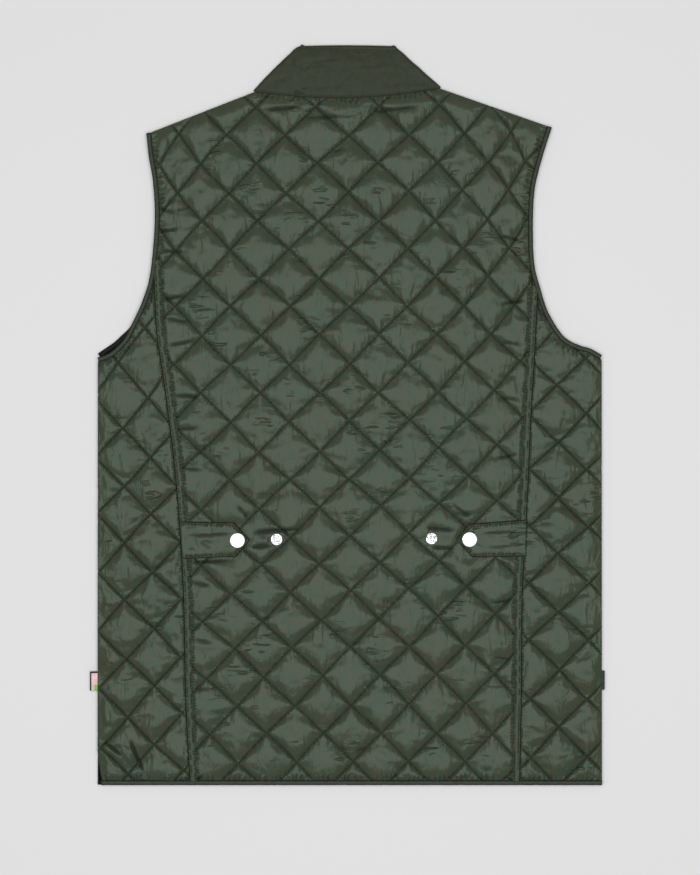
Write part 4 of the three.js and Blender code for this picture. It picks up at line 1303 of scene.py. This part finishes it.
def collar_relief(x, y, share, angle):
    """How far the puff, the bound edge's roll, the slack creases and the fine puckers stand out."""
    if angle <= -60:
        return 0.0
    puff = 1.3 * math.sin(math.pi * (share / BOUND_FROM)) ** 0.6 if share < BOUND_FROM else 0.0
    roll = 0.9 * math.sin(math.pi * (share - BOUND_FROM) / BOUND_SHARE) if share >= BOUND_FROM else 0.0
    wave = 0.28 * noise.noise((x / 16, y / 7, 2.2 + (angle > 0)))
    dent = crease_height(np.array([x]), np.array([y]), collar_creases)[0] * (angle > 60)
    fine = 0.22 * noise.noise((x / 4, y / 4, 8.0)) * math.exp(-((share - 0.9) / 0.06) ** 2)
    return puff * max(0.0, math.sin(math.radians(angle)) * 0.5 + 0.5) + (roll + wave + dent + fine)


def collar_mesh():
    """The collar's closed wall: round its edge in one direction, round the neck in the other."""
    rails = [collar_rail(k / HEIGHT_ROWS) for k in range(HEIGHT_ROWS + 1)]
    outer, inner = COLLAR["inner"] + COLLAR["thick"], COLLAR["inner"]
    ring = [(k, outer) for k in range(HEIGHT_ROWS + 1)]
    ring += [(HEIGHT_ROWS, outer + (inner - outer) * k / EDGE_ROWS) for k in range(1, EDGE_ROWS)]
    ring += [(k, inner) for k in range(HEIGHT_ROWS, -1, -1)] + [(0, inner)]

    def place(q, s):
        k, radius = ring[round(q * (len(ring) - 1))] if q < 1 else ring[0]
        spot, out, angle = rails[k][round(s * (len(rails[0]) - 1))]
        turn = math.radians(angle)
        if radius > inner + 0.01:
            radius += collar_relief(*spot, k / HEIGHT_ROWS, angle)
        bulge = 0.7 * math.sin(math.pi * (radius - inner) / (outer - inner)) if k == HEIGHT_ROWS else 0.0
        flat = out * radius * math.cos(turn)
        return (spot[0] + flat[0], spot[1] + flat[1] + bulge, COLLAR["roll"] + radius * math.sin(turn))

    return tube(len(ring), len(rails[0]) - 1, place)


collar_bm = collar_mesh()
collar_surface = in_metres(collar_bm)
collar_rows = [np.array([collar_back(t, k / 60) for k in range(61)]) for t in (0.915, 0.03)]
collar_stitches = [s for row in collar_rows for s in stitches_along(row, collar_surface)]
collar = hand_over("stand_collar", collar_bm, [collar_cloth], ["collar", "collar_binding"])
hand_over_thread("collar_stitching", collar_stitches)

# %% [markdown]
# A waist tab is a small pointed band, turned right side out and topstitched 3 mm inside its
# edge. Its root is caught in the long seam. A snap cap sits near its point, and the stud it
# snaps to is a hand's width of cloth away on the panel.

# %% The waist tabs
TAB_LOW, TAB_T = BACK_Z + 3.0, 2.1
POINT_FROM = 0.8  # the share of the mesh's rows that the straight part takes
STITCHED_AT = 3  # mm inside the edge
TAB_CREASES = [
    # x0, y0, x1, y1 in pixels; half width and height in mm
    (184, 536, 233, 534, 1.0, -0.95), (192, 539, 222, 538, 1.6, 0.4), (480, 534, 520, 531, 1.1, -0.8),
    (486, 548, 516, 546, 1.2, -0.6), (200, 543, 210, 548, 1.4, -0.6), (190, 546, 199, 551, 1.6, 0.5),
]
tab_creases = from_pixels(TAB_CREASES)


def tab_mesh(corners, seed):
    """A flat padded tab from its corners: root, shoulder, tip, shoulder, root."""
    root_top, top, tip, bottom, root_bottom = corners

    def place(q, s):
        if s < POINT_FROM:
            share = s / POINT_FROM
            high, low = root_top + (top - root_top) * share, root_bottom + (bottom - root_bottom) * share
        else:
            share = (s - POINT_FROM) / (1 - POINT_FROM)
            high, low = top + (tip - top) * share, bottom + (tip - bottom) * share
        face = 1 if q < 0.5 else -1
        c = 4 * q - 1 if q < 0.5 else 3 - 4 * q
        c = math.copysign(abs(c) ** 0.8, c)
        x, y = low + (high - low) * (c + 1) / 2
        gap = nearest(corners, np.array([x]), np.array([y]))[0][0]
        round_off = min(1.0, gap / 0.9) ** 0.5
        up = face * TAB_T / 2 * (0.25 + 0.75 * round_off)
        if face > 0:
            up += 0.35 * min(1, gap / 7) - 0.5 * math.exp(-((gap - STITCHED_AT) / 0.8) ** 2)
            up += 0.3 * noise.noise((x / 3.2, y / 3.2, seed)) * math.exp(-((gap - STITCHED_AT) / 2.6) ** 2)
            up += 0.6 * noise.noise((x / 9, y / 5, seed + 4))
            up += crease_height(np.array([x]), np.array([y]), tab_creases)[0]
        return (x, y, TAB_LOW + TAB_T / 2 + up)

    made = tube(88, 110, place)
    sewn_map(made, [corners])
    fold_map(made, tab_creases)
    return made


tab_stitches = []
tab_pieces = {}
for side, tab in TABS.items():
    corners = np.array(tab["corners"], float)
    made = tab_mesh(corners, 30.0 + len(tab_pieces))
    inward = corners.mean(0) - corners
    inward /= np.linalg.norm(inward, axis=1)[:, None]
    seam_path = corners + inward * np.array([[0.5], [4.2], [3.6], [4.2], [0.5]])
    seam_path[0, 1], seam_path[4, 1] = corners[0, 1] - STITCHED_AT, corners[4, 1] + STITCHED_AT
    path = np.vstack([np.linspace(p, q, 30)[:-1] for p, q in zip(seam_path, seam_path[1:])])
    tab_stitches += stitches_along(path, in_metres(made))
    tab_pieces[side] = hand_over(f"snap_tab_{side}", made, [taffeta], [f"waist_tab_{side}"])
    turned(CAP, 40, f"cap_{side}", [f"snap_cap_{side}"], tab["cap"], TAB_LOW + TAB_T + 0.15)
    turned(STUD, 40, f"stud_{side}", [f"snap_stud_{side}"], tab["stud"], BACK_Z + 2.35, worn_nickel)
hand_over_thread("tab_stitching", tab_stitches)

# %% [markdown]
# Two small things are sewn into the side seams near the hem: a folded label on the left, pale
# pink with a dark edge and a green corner and nothing written on it, and a loop of the shell's
# own cloth on the right.

# %% Side label and loop
def tag(name, x0, x1, y0, y1, low, thick, materials, node):
    """A small folded tag, its fold on the outer side."""
    line = line_through([((x0 + x1) / 2, y1), ((x0 + x1) / 2, y0)], 0.8)
    made = tape(line, abs(x1 - x0), low, thick, 90.0, pucker=0.12, square=0.4, around=36)
    for face in made.faces:
        spot = face.calc_center_median()
        share_x, share_y = (spot.x - x0) / (x1 - x0), (spot.y - y0) / (y1 - y0)
        if len(materials) > 1 and (share_x < 0.16 or share_y > 0.93):
            face.material_index = 1
        elif len(materials) > 2 and share_x > 0.6 and share_y < 0.32:
            face.material_index = 2
    hand_over(name, made, materials, [node])


tag("folded_side_label", -273.2, -264.0, -292.6, -272.4, 2.4, 1.9, [label_pink, label_dark, label_green],
    "side_label")
tag("folded_side_loop", 269.4, 273.2, -291.6, -271.4, 2.2, 2.8, [tape_cloth], "side_loop")

# %% [markdown]
# Last, each cloth piece's area is worked out from its outline, times the take-up of its padding. The
# quilted panels are cut from cloth that was quilted first. The cut areas are larger than what shows by the
# seam allowances and the take-up of the padding.

# %% The cut areas
def flat_area(outline):
    """The area inside an outline, in square metres."""
    x, y = outline[:, 0] * MM, outline[:, 1] * MM
    return 0.5 * abs((x * np.roll(y, -1) - y * np.roll(x, -1)).sum())


def declare_sheet(obj, outline, take_up, allowance, **more):
    """The area of a sheet from its outline, times its take-up; allowance is not used."""
    area = flat_area(outline) * take_up


ALLOWANCE = 20
for side, obj in panels.items():
    declare_sheet(obj, outlines[side], 1.06, ALLOWANCE,
                  rests_on=["quilted_front_left", "quilted_front_right"])
for side, obj in fronts.items():
    declare_sheet(obj, front_shapes[side], 1.04, ALLOWANCE)
for side, obj in tab_pieces.items():
    declare_sheet(obj, np.array(TABS[side]["corners"], float), 1, 0, rests_on=["quilted_back_centre"])
